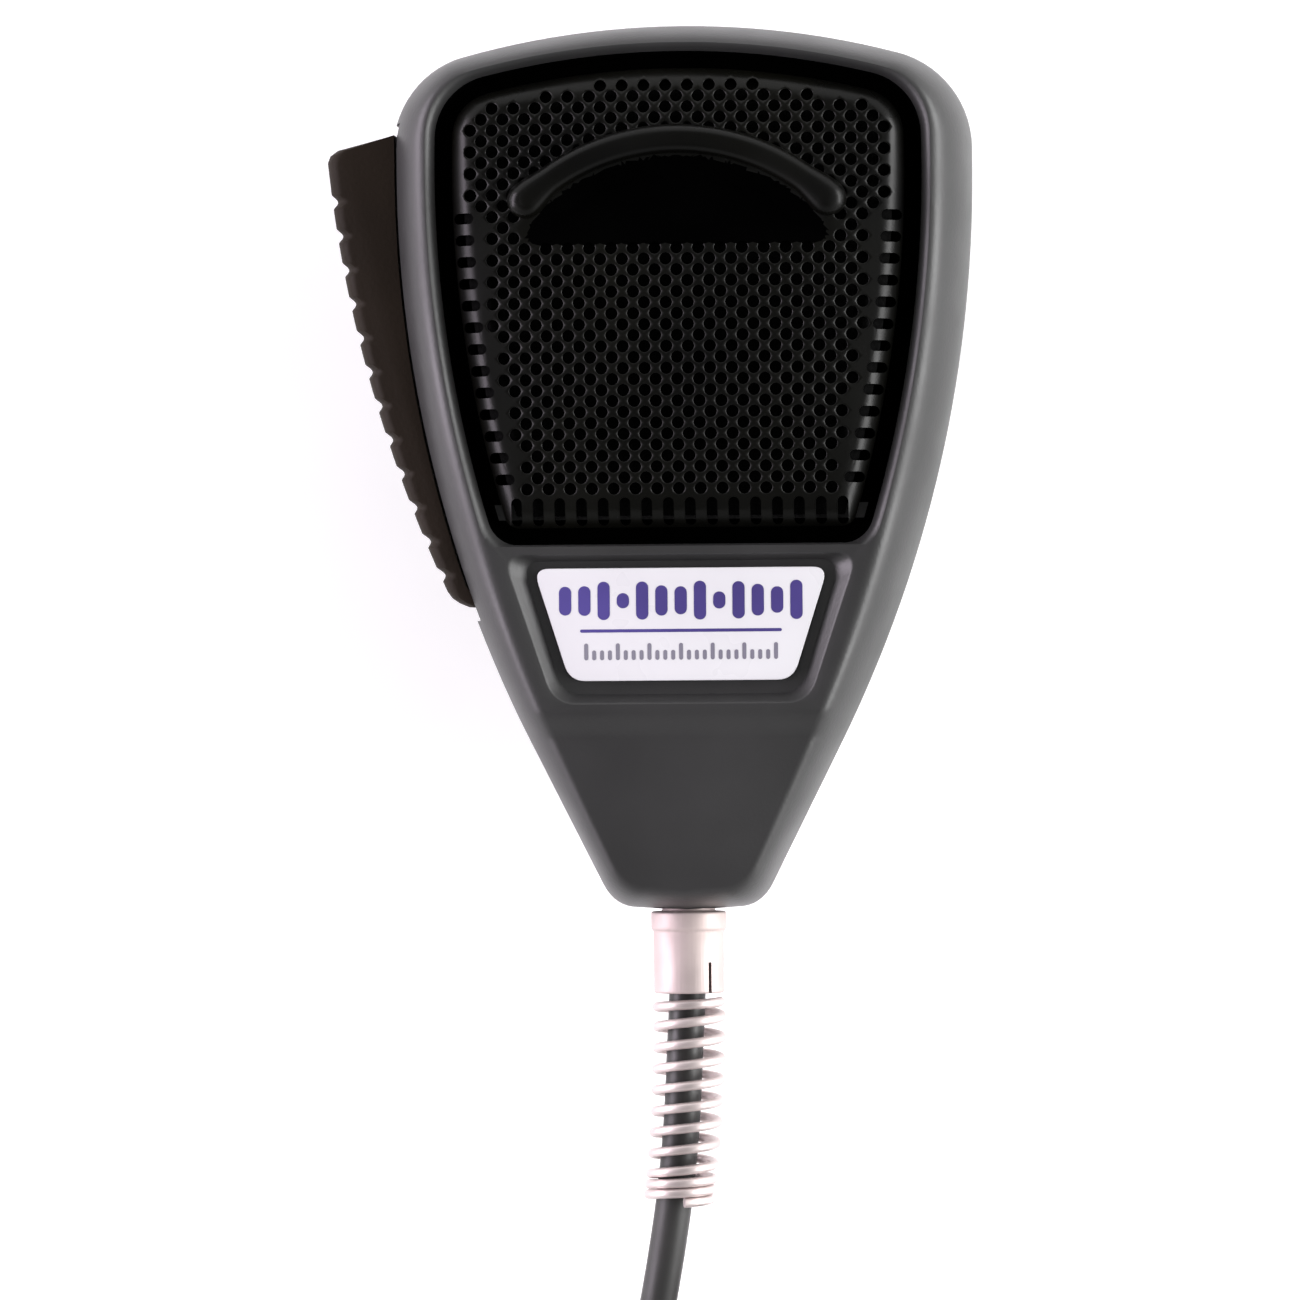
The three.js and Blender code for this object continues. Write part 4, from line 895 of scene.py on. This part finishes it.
def perforated_sheet():
    """The pressed sheet: a diamond lattice of cells, each with a round, rounded-over hole or plain."""
    half_cell = HOLE_PITCH / sqrt(2)
    outline = cell_corners()
    points, faces, known = [], [], {}

    def crowned(p, q):
        """Whether the crossing between four cells has a hole on every side."""
        around = [((p + a) // 6, (q + b) // 6) for a in (-3, 3) for b in (-3, 3)]
        return all(has_hole(*middle(i, j)) for i, j in around)

    def lay(x, y, depth):
        points.append((x, y, grille_z(x, y) - depth))
        return len(points) - 1

    def shared(p, q, depth):
        key = (p, q, depth)
        if key not in known:
            crossing = depth == 0 and p % 6 == 3 and q % 6 == 3 and crowned(p, q)
            x, y = (p - q) / 6 * half_cell, LATTICE_Y + (p + q) / 6 * half_cell
            known[key] = lay(x, y, -LAND_CROWN if crossing else depth)
        return known[key]

    def circle(x, y, r, depth):
        angles = [pi / 2 + 2 * pi * k / HOLE_CORNERS for k in range(HOLE_CORNERS)]
        return [lay(x + r * cos(a), y + r * sin(a), depth) for a in angles]

    def strip(a, b):
        n = len(a)
        return [[a[k], a[(k + 1) % n], b[(k + 1) % n], b[k]] for k in range(n)]

    def middle(i, j):
        return (i - j) * half_cell, LATTICE_Y + (i + j) * half_cell

    span = range(-40, 60)
    cells = {(i, j): middle(i, j) for i in span for j in span if edge_distance(*middle(i, j)) > -SPARE}
    for (i, j), (x, y) in cells.items():
        top = [shared(6 * i + a, 6 * j + b, 0) for a, b in outline]
        bottom = [shared(6 * i + a, 6 * j + b, SHEET_T) for a, b in outline]
        if has_hole(x, y):
            shoulder = circle(x, y, HOLE_R + HOLE_ROUND, 0)
            lip = circle(x, y, HOLE_R, HOLE_DROP)
            under = circle(x, y, HOLE_R, SHEET_T)
            for a, b in ((top, shoulder), (shoulder, lip), (lip, under), (under, bottom)):
                faces.extend(strip(a, b))
        else:
            crown, base = circle(x, y, HOLE_R, 0), circle(x, y, HOLE_R, SHEET_T)
            faces.extend([*strip(top, crown), crown, *strip(base, bottom), base[::-1]])
        for k, (di, dj) in enumerate(((0, 1), (-1, 0), (0, -1), (1, 0))):
            if (i + di, j + dj) in cells:
                continue
            for m in range(3 * k, 3 * k + 3):
                n = (m + 1) % 12
                faces.append([top[m], bottom[m], bottom[n], top[n]])
    sheet = solid("grille_sheet", points, faces, "grille", 50)
    triangulate(sheet)
    common(sheet, prism("trim", grille_half(-TRIM), BELOW, ABOVE))
    cut(sheet, border_slots())
    tidy_normals(sheet, 50)
    # painted shade on the hollow under the lip guard
    paint_shade(sheet, lambda x, y, z: mouth(x, y) > MOUTH_SHADE)
    finish_piece(sheet, "grille_metal", "grille_screen")


def lip_guard():
    """An arched rib with a flattened top and fuller, rounded ends, standing on the sheet."""
    half_length = LIP_R * LIP_SWING
    end_r, lobes, lobe_length, rise, highest, sunk = 1.9, 0.4, 3.5, 1.75, 34.8, 0.35
    steps, around = 76, 20
    rows = []
    for i in range(steps + 1):
        turn = pi * i / steps
        s = -cos(turn) * (half_length + end_r) * 0.9995
        past = max(0, abs(s) - half_length) / end_r
        cap = sqrt(1 - past ** 2)
        width = (LIP_HALF_WIDTH + lobes * smooth((abs(s) - half_length + lobe_length) / lobe_length)) * cap
        a = s / LIP_R
        foot_x, foot_y = LIP_R * sin(a), LIP_Y + LIP_R * cos(a)
        height = rise * cap ** 0.7
        row = []
        for k in range(around + 1):
            phi = pi * k / around
            across = width * copysign(abs(cos(phi)) ** 0.8, cos(phi))
            x, y = foot_x + across * sin(a), foot_y + across * cos(a)
            low = grille_z(x, y) - sunk
            top = min(highest, grille_z(foot_x, foot_y) + height)
            row.append((x, y, low + max(0.02, top - low) * sin(phi) ** 0.75))
        rows.append(row)
    finish_piece(skin("lip_rib", rows, "grille", 50), "grille_metal", "lip_guard")


def foam_pad():
    """The wind foam under the sheet, following its dome."""
    edge = grille_half(-1.5)
    middle_y, gap = 62, 1.1
    rings = [ring(edge, 28.3)]
    for share in (1, 0.97, 0.92, 0.85, 0.75, 0.6, 0.45, 0.3, 0.15):
        half = [(x * share, middle_y + (y - middle_y) * share) for x, y in edge]
        rings.append(ring(half, lambda x, y: grille_z(x, y) - gap))
    finish_piece(loft("wind_foam", rings, "foam"), "foam", "foam_pad")


perforated_sheet()
lip_guard()
foam_pad()

# ---- Nameplate ----

PLATE = (14.9, 34.6, 11.3, 23.2, 1.6)
PLATE_TOP_Z = 30.55
PRINT = (PLATE_TOP_Z - 0.03, PLATE_TOP_Z + 0.02)
BAR_PITCH, BAR_HALF, BAR_Y = 1.95, 0.62, 31.3
RULE = (-10.2, 10.2, 28.1, 28.42)
TICK_PITCH, TICK_HALF, TICK_Y = 0.8, 0.2, 25.3


def nameplate():
    low = ((-0.1, NAMEPLATE_Z), (0, NAMEPLATE_Z + 0.1))
    high = ((0, PLATE_TOP_Z - 0.12), (-0.04, PLATE_TOP_Z - 0.03), (-0.14, PLATE_TOP_Z))
    rings = [ring(trapezoid_half(*PLATE, out), z) for out, z in (*low, *high)]
    finish_piece(loft("label_plate", rings, "plate"), "nameplate_face", "nameplate")


def nameplate_print():
    """Plain decoration: a row of level bars, a rule and a scale of ticks."""
    bars = []
    for i in range(13):
        x = BAR_PITCH * (i - 6)
        reach = 0.75 + 1.25 * abs(sin(1.9 * i + 0.6))
        bars.append(pill("bar", x - BAR_HALF, x + BAR_HALF, BAR_Y - reach, BAR_Y + reach, *PRINT, "ink"))
    bars.append(pill("rule", *RULE, *PRINT, "ink"))
    finish_piece(merged("label_bars", bars), "nameplate_face")
    ticks = []
    for i in range(25):
        x = TICK_PITCH * (i - 12)
        top = TICK_Y + (1.7 if i % 4 == 0 else 1.0)
        ticks.append(pill("tick", x - TICK_HALF, x + TICK_HALF, TICK_Y, top, *PRINT, "ink_grey"))
    finish_piece(merged("label_scale", ticks), "nameplate_face")


nameplate()
nameplate_print()

# ---- Push-to-talk lever ----

LEVER_Z0, LEVER_Z1 = 12.6, 25.4
LEVER_LOW, LEVER_HIGH = 30.2, 78.9
GRIP_PROUD, GRIP_FLARE, GRIP_FROM = 1.75, 0.108, 32.5
RIB_PITCH, RIB_FIRST, RIB_COUNT, RIB_DEPTH, RIB_HALF = 3.46, 34.15, 12, 0.55, 0.75
GRIP_ROUND, GRIP_INSET = 2.4, 1.3


def grip_x(y):
    return -(half_width(y) + GRIP_PROUD + GRIP_FLARE * (y - GRIP_FROM))


def ribbed_edge():
    """Points up the grip's outer edge: flat lands and rounded grooves."""
    points = []
    for i in range(RIB_COUNT):
        middle = RIB_FIRST + i * RIB_PITCH
        for k in range(-6, 7):
            y = middle + RIB_HALF * k / 6
            points.append((grip_x(y) + RIB_DEPTH * cos(pi * k / 12) ** 1.4, y))
        points.append((grip_x(middle + RIB_PITCH / 2), middle + RIB_PITCH / 2))
    return points[:-1]


def ptt_grip():
    outer = [
        (-half_width(LEVER_LOW) - 0.3, LEVER_LOW + 0.6),
        (grip_x(LEVER_LOW + 1.2) + 0.8, LEVER_LOW + 1.0),
        (grip_x(LEVER_LOW + 1.6) + 0.25, LEVER_LOW + 1.5),
        (grip_x(LEVER_LOW + 2.2), LEVER_LOW + 2.2),
        *ribbed_edge(),
        (grip_x(75.4), 75.4),
        (grip_x(76.2), 76.2),
        (grip_x(77) + 0.35, 76.9),
        (grip_x(77) + 1.1, 77.45),
    ]
    rows = [LEVER_HIGH, 75, 71, 66, 61.5, 57, 52.5, 48, 44, 40, 36, 33]
    inner = [(-half_width(y) + 0.5, y) for y in rows]
    levels = []
    for i in range(17):
        t = pi * i / 16
        z = (LEVER_Z0 + LEVER_Z1) / 2 - (LEVER_Z1 - LEVER_Z0) / 2 * cos(t)
        near = max(0, GRIP_ROUND - min(z - LEVER_Z0, LEVER_Z1 - z)) / GRIP_ROUND
        inset = GRIP_INSET * (1 - sqrt(1 - near ** 2))
        levels.append([(x + inset, y, z) for x, y in outer] + [(x, y, z) for x, y in inner])
    finish_piece(skin("lever_grip", levels, "rubber", 30), "grip_rubber", "ptt_grip", body=LEVER)


ptt_grip()

# ---- Metalwork ----

RETURN_FROM_X, RETURN_TO_X, RETURN_Y, RETURN_Z = -23.13, -18.07, 56, 17
RETURN_R, RETURN_WIRE, RETURN_TURNS, RETURN_STEPS = 2.1, 0.35, 5, 24


def rounded(profile, radius, steps=4):
    """An (r, h) profile with its inner corners rounded off."""
    made = [profile[0]]
    for before, corner, after in zip(profile, profile[1:], profile[2:]):
        def toward(other):
            span = dist(corner, other)
            k = min(radius, span * 0.45) / span
            return tuple(c + (o - c) * k for c, o in zip(corner, other))
        made += bend(toward(before), corner, toward(after), steps)
    return [*made, profile[-1]]


def strain_ferrule():
    outside = rounded([
        (2.4, 6.4), (2.7, 6.4), (2.7, -0.45), (3.85, -0.45),
        (3.85, -2.2), (3.6, -2.45), (3.6, -8.8), (2.4, -8.8),
    ], 0.28)
    ferrule = revolve("cord_ferrule", outside, (0, 0, PARTING_Z), "y", 72, "satin", closed=True)
    cut(ferrule, box("crimp", (2.12, -9.5, PARTING_Z + 1.6), (2.42, -5.6, PARTING_Z + 5), "nickel"))
    finish_piece(tidy_normals(ferrule, 30), "bright_nickel", "strain_ferrule")


def guard_middle(t):
    y = GUARD_START + (GUARD_END - GUARD_START) * t
    return Vector((-GUARD_LEAN * max(0, t) ** 2.2, y, PARTING_Z - GUARD_SAG * t * t))


def strain_spring():
    """The guard: close turns at each end, open between, a little slimmer towards its free end."""
    wire, mean_r, slimmer = 0.5, 3.3, 0.1
    open_pitch, closed_pitch, per_turn = 2.17, 1.04, 28
    near_close, far_close, fade = 1.4, 3.6, 1.2
    total = GUARD_START - GUARD_END
    points, y, turn = [], 0.0, 0.0
    while y < total:
        close = max(1 - smooth(y / near_close), smooth((y - total + far_close) / fade))
        y += (open_pitch + (closed_pitch - open_pitch) * close) / per_turn
        turn += 1 / per_turn
        t = min(1, y / total)
        angle = 2 * pi * turn
        r = mean_r - slimmer * t
        points.append(guard_middle(t) + Vector((r * cos(angle), 0, r * sin(angle))))
    spring = tube_curve("cord_guard_spring", points, wire, "nickel", 5)
    finish_piece(spring, "bright_nickel", "strain_spring")


def return_spring():
    """The lever's spring as a fixed coil; the real one shortens towards its rib as the lever is pressed.
    """
    points = []
    for k in range(RETURN_TURNS * RETURN_STEPS + 1):
        t, angle = k / (RETURN_TURNS * RETURN_STEPS), 2 * pi * k / RETURN_STEPS
        y, z = RETURN_Y + RETURN_R * cos(angle), RETURN_Z + RETURN_R * sin(angle)
        points.append((RETURN_FROM_X + (RETURN_TO_X - RETURN_FROM_X) * t, y, z))
    line = tube_curve("spring_line", points, RETURN_WIRE, "steel", 3)
    bpy.context.view_layer.update()
    mesh = bpy.data.meshes.new_from_object(line.evaluated_get(bpy.context.evaluated_depsgraph_get()))
    bpy.data.objects.remove(line)
    spring = tidy_normals(link_object("lever_return_spring", mesh), 50)
    finish_piece(spring, "plain_steel", "ptt_return_spring")
    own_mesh(spring)


def hang_button():
    profile = [(0, 0), (6.35, 0), (6.35, 2), (3.2, 2), (3.2, 4.7), (2, 4.7), (2, 10.9), (0, 10.9)]
    button = revolve("hang_up_button", rounded(profile, 0.4, 5), (0, BUTTON_Y, 0), "z", 80, "nickel")
    finish_piece(button, "bright_nickel", "hang_button")


SCREW_HEAD = ((0, -1.6), (1.2, -1.56), (1.8, -1.36), (2.2, -0.95), (2.35, -0.5), (2.35, 0), (1.05, 0))
CROSS_ARM = (1.35, 0.28)  # half length and half width


def cover_screws():
    for i, (x, y) in enumerate(COVER_SCREWS):
        seat = back_z(y) + 1.9
        profile = [*lifted(SCREW_HEAD, seat), (1.05, 23.2), (0.5, 24), (0, 24)]
        screw = revolve(f"back_screw_{i + 1}", profile, (x, y, 0), "z", 40, "steel")
        for a, b in (CROSS_ARM, CROSS_ARM[::-1]):
            cut(screw, box("recess_bar", (x - a, y - b, seat - 4), (x + a, y + b, seat - 0.8)))
        finish_piece(tidy_normals(screw, 30), "plain_steel", f"cover_screw_{i + 1}")


strain_ferrule()
strain_spring()
hang_button()
cover_screws()
return_spring()

# ---- Cord tie and plug ----


def cord_tie():
    """A strap round both runs of the curl, its free end lying on top."""
    band_t, tab_t, tab_inset = 0.75, 0.6, 0.3
    r = CURL_R + CORD_R + 0.35
    left, right = HANK_X - HANK_MOUTH, HANK_X + HANK_MOUTH
    y0, y1 = HANK_NEAR - 20, HANK_NEAR - 11
    loop = arc(right, CURL_Z, r, pi / 2, -pi / 2, 20)
    loop += arc(left, CURL_Z, r, -pi / 2, -1.5 * pi, 20)

    def strap(line, thickness, low_y, high_y, closed):
        n = len(line)
        inner, outer = [], []
        for i, (x, z) in enumerate(line):
            before = line[i - 1] if closed or i else line[i]
            after = line[(i + 1) % n] if closed or i < n - 1 else line[i]
            tx, tz = after[0] - before[0], after[1] - before[1]
            size = hypot(tx, tz)
            inner.append((x, z))
            outer.append((x - tz / size * thickness, z + tx / size * thickness))
        points = []
        for side in (inner, outer):
            for y in (low_y, high_y):
                points += [(x, y, max(0.03 if side is outer else 0.16, z)) for x, z in side]
        rails = [0, n, 3 * n, 2 * n]
        faces = []
        for a, b in zip(rails, rails[1:] + rails[:1]):
            for i in range(n if closed else n - 1):
                j = (i + 1) % n
                faces.append([a + i, a + j, b + j, b + i])
        if not closed:
            faces += [rails, [a + n - 1 for a in rails]]
        return solid("strap", points, faces, "nylon", 30)

    band = strap(loop[::-1], band_t, y0, y1, True)
    top = CURL_Z + r + 0.78
    tab_line = [(HANK_X + 6 - 0.9 * i, top + 0.02 * (i % 2)) for i in range(15)]
    tab = strap(tab_line[::-1], tab_t, y0 + tab_inset, y1 - tab_inset, False)
    tie = merged("cord_strap", [band, tab])
    round_edges(tie, 0.14, 2)
    finish_piece(tie, "inner_nylon", "cord_tie")


def on_plug_axis(name, profile, material, segments=72, closed=False, wobble=None):
    return revolve(name, profile, (PLUG_X, 0, PLUG_Z), "y", segments, material, closed, wobble)


def plug():
    shell = [
        (2.6, 0), (5, 0), (5, 5), (7.2, 9), (7.2, 13), (6.9, 13.4),
        (6.9, 14.6), (7.2, 15), (7.2, 26), (6.2, 26), (6.2, 11), (2.6, 7),
    ]
    body = on_plug_axis("plug_body", rounded(lifted(shell, PLUG_REAR), 0.35), "brushed", closed=True)

    def block(name, half_x, y0, y1, z0, z1):
        low = (PLUG_X - half_x, PLUG_REAR + y0, PLUG_Z + z0)
        high = (PLUG_X + half_x, PLUG_REAR + y1, PLUG_Z + z1)
        return box(name, low, high, "brushed")

    cut(body, block("seat", 3.9, -1, 5, 3.1, 10))
    finish_piece(tidy_normals(body, 30), "bright_nickel", "plug_shell")
    clamp = block("plug_saddle", 3.6, 0.6, 4.4, 3.4, 4.6)
    round_edges(clamp, 0.3)
    finish_piece(clamp, "bright_nickel", "plug_clamp")
    for i, side in enumerate((-1, 1)):
        x, y, low = PLUG_X + 2.7 * side, PLUG_REAR + 2.4, PLUG_Z + 4.62
        profile = lifted([(0, 0), (1, 0), (1, 0.8), (0.85, 1.1), (0.5, 1.25), (0, 1.28)], low)
        head = revolve(f"saddle_screw_{i + 1}", profile, (x, y, 0), "z", 28, "steel")
        cut(head, box("slit", (x - 0.13, y - 1.2, low + 0.75), (x + 0.13, y + 1.2, low + 2), "steel"))
        finish_piece(tidy_normals(head, 30), "plain_steel", f"plug_clamp_screw_{i + 1}")


def plug_ring():
    rear, front, knurl_depth = -59.6, -44, 0.32
    collar = ((6.6, 0), (8.5, 0), (9.3, 0.9), (9.3, 2.4), (8.9, 2.8), (8.9, 3.4), (9.3, 3.8), (9.3, 4.4))
    knurl = [*collar, *((9.3, 5 + 0.9 * i) for i in range(10))]
    outer = [*lifted(knurl, rear), (9.3, front - 0.5), (8.8, front)]
    inner = [(7.7, front), (7.5, front - 0.2), (7.5, rear + 2.2), (6.6, rear + 2.2)]

    def ridge(radius, height, i):
        """Straight knurling on the ring's broad band."""
        if radius < 9.2 or not rear + 4.2 < height < front - 1.2:
            return radius
        return radius - knurl_depth * (i % 4 in (2, 3))

    ring_piece = on_plug_axis("locking_ring", outer + inner, "brushed", 192, True, ridge)
    finish_piece(ring_piece, "bright_nickel", "plug_ring", body=RING)


def plug_insert():
    face, back, pin_circle = -49.2, PLUG_REAR + 16, 3
    profile = rounded([
        (0, back), (5.9, back), (5.9, -59.6), (6.3, -59.6),
        (6.3, -58.4), (5.9, -58.4), (5.9, face), (0, face),
    ], 0.12)
    bore = [(0, PLUG_REAR), (1.3, PLUG_REAR), (1.3, -40), (0, -40)]
    tube = rounded([(0.6, back - 2), (1, back - 2), (1, face - 0.4), (0.6, face - 0.4)], 0.1)
    insert = on_plug_axis("plug_core", profile, "nylon", 64)
    for i in range(4):
        a = radians(45 + 90 * i)
        x, z = PLUG_X + pin_circle * cos(a), PLUG_Z + pin_circle * sin(a)
        cut(insert, revolve("hole", bore, (x, 0, z), "y", 24))
        contact = revolve(f"socket_{i + 1}", tube, (x, 0, z), "y", 24, "brass", closed=True)
        finish_piece(contact, "contact_brass", f"plug_contact_{i + 1}")
    finish_piece(tidy_normals(insert, 30), "inner_nylon", "plug_insert")


cord_tie()
plug()
plug_ring()
plug_insert()

# ---- Pieces kept from the CAD ----


def numbered(stem, count):
    return [f"{stem}_{i + 1}" for i in range(count)]


KEPT = {
    "steel": [
        "hang_button_washer", "hang_button_nut", "strain_nut", "ptt_pivot_pin", "capsule_case",
        "capsule_cap", "capsule_clamp_ring", *numbered("clamp_ring_screw", 2),
        *numbered("switch_screw", 2), *numbered("cord_clamp_screw", 2),
    ],
    "nylon": ["ptt_carrier", "switch_body", "cord_clamp", "conductor_black"],
    "plate": ["switch_plunger"],
    "rubber": ["capsule_boot"],
    "brass": [*numbered("switch_terminal", 3), "voice_coil"],
    "magnet": ["capsule_magnet", "bypass_capacitor"],
    "film": ["diaphragm", "load_resistor"],
    "board": ["circuit_board"],
    "wire_red": ["conductor_red", "capsule_lead_1"],
    "wire_white": ["conductor_white", "capsule_lead_2"],
}


def dress_kept_nodes():
    for material, names in KEPT.items():
        for name in names:
            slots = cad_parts[name].data.materials
            slots.clear()
            slots.append(MATERIAL[material])


dress_kept_nodes()

# ---- Floor and light ----

TENT_WALL, TENT_ROOF = 1.5, 0.2
FOOT_SHADE = 0.3  # the tent's open end, past the cord, against its walls
FLOOR_GLOW, FLOOR_HALF = 0.35, 4000
# Place, size, power and colour of each area light.
LIGHTS = {
    "left_softbox": ((-1.15, 0.03, 0.42), (1.3, 0.45), 17, (0.98, 0.86, 1)),
    "right_softbox": ((1.15, 0, 0.42), (1.3, 0.45), 21, (1, 1, 1)),
    "left_strip": ((-0.62, 0, 1.2), (1.2, 0.12), 0.5, (1, 1, 1)),
    "right_strip": ((0.62, 0, 1.2), (1.2, 0.12), 0.5, (1, 1, 1)),
}


def make_floor():
    material = MATERIAL["floor"] = moulded("paper_floor", (0.86,) * 3, (0.89,) * 3, 0.7, 0.002, 300)
    set_sockets(shader_of(material), Emission_Color=(1, 1, 1, 1), Emission_Strength=FLOOR_GLOW)
    points = [(FLOOR_HALF * x, FLOOR_HALF * y, -0.02) for x, y in ((-1, -1), (1, -1), (1, 1), (-1, 1))]
    mesh_object("floor", points, [[0, 1, 2, 3]], "floor")


def area_light(name, at, size, power, colour):
    """A large area light aimed at the middle of the head."""
    data = bpy.data.lights.new(name, "AREA")
    data.shape = "RECTANGLE"
    data.size, data.size_y = size
    data.energy = power
    data.color = colour
    light = link_object(name, data)
    light.location = at
    light.rotation_euler = (Vector((0, 0, 0.02)) - Vector(at)).to_track_quat("-Z", "Y").to_euler()


def tent_world():
    """A light tent: bright walls round the horizon, darker overhead and past the cord's end."""
    world = bpy.data.worlds.new("light_tent")
    world.use_nodes = True
    links = world.node_tree.links
    split = add_node(world, "SeparateXYZ")
    walls = add_node(world, "ValToRGB")
    links.new(add_node(world, "TexCoord").outputs["Generated"], split.inputs["Vector"])
    links.new(split.outputs["Z"], walls.inputs["Fac"])
    elements = walls.color_ramp.elements
    elements[0].position, elements[0].color = 0, (1, 1, 1, 1)
    elements[1].position, elements[1].color = 0.72, (*[TENT_ROOF / TENT_WALL] * 3, 1)
    elements.new(0.48).color = (1, 1, 1, 1)
    ends = add_node(world, "MapRange", From_Min=-1, From_Max=-0.35, To_Min=FOOT_SHADE)
    links.new(split.outputs["Y"], ends.inputs["Value"])
    shade = add_node(world, "VectorMath")
    shade.operation = "SCALE"
    links.new(walls.outputs["Color"], shade.inputs[0])
    links.new(ends.outputs["Result"], shade.inputs["Scale"])
    background = world.node_tree.nodes["Background"]
    links.new(shade.outputs["Vector"], background.inputs["Color"])
    background.inputs["Strength"].default_value = TENT_WALL
    bpy.context.scene.world = world


def make_light():
    tent_world()
    for name, settings in LIGHTS.items():
        area_light(name, *settings)
    view = bpy.context.scene.view_settings
    view.view_transform = "Standard"
    view.look = "None"


make_floor()
make_light()
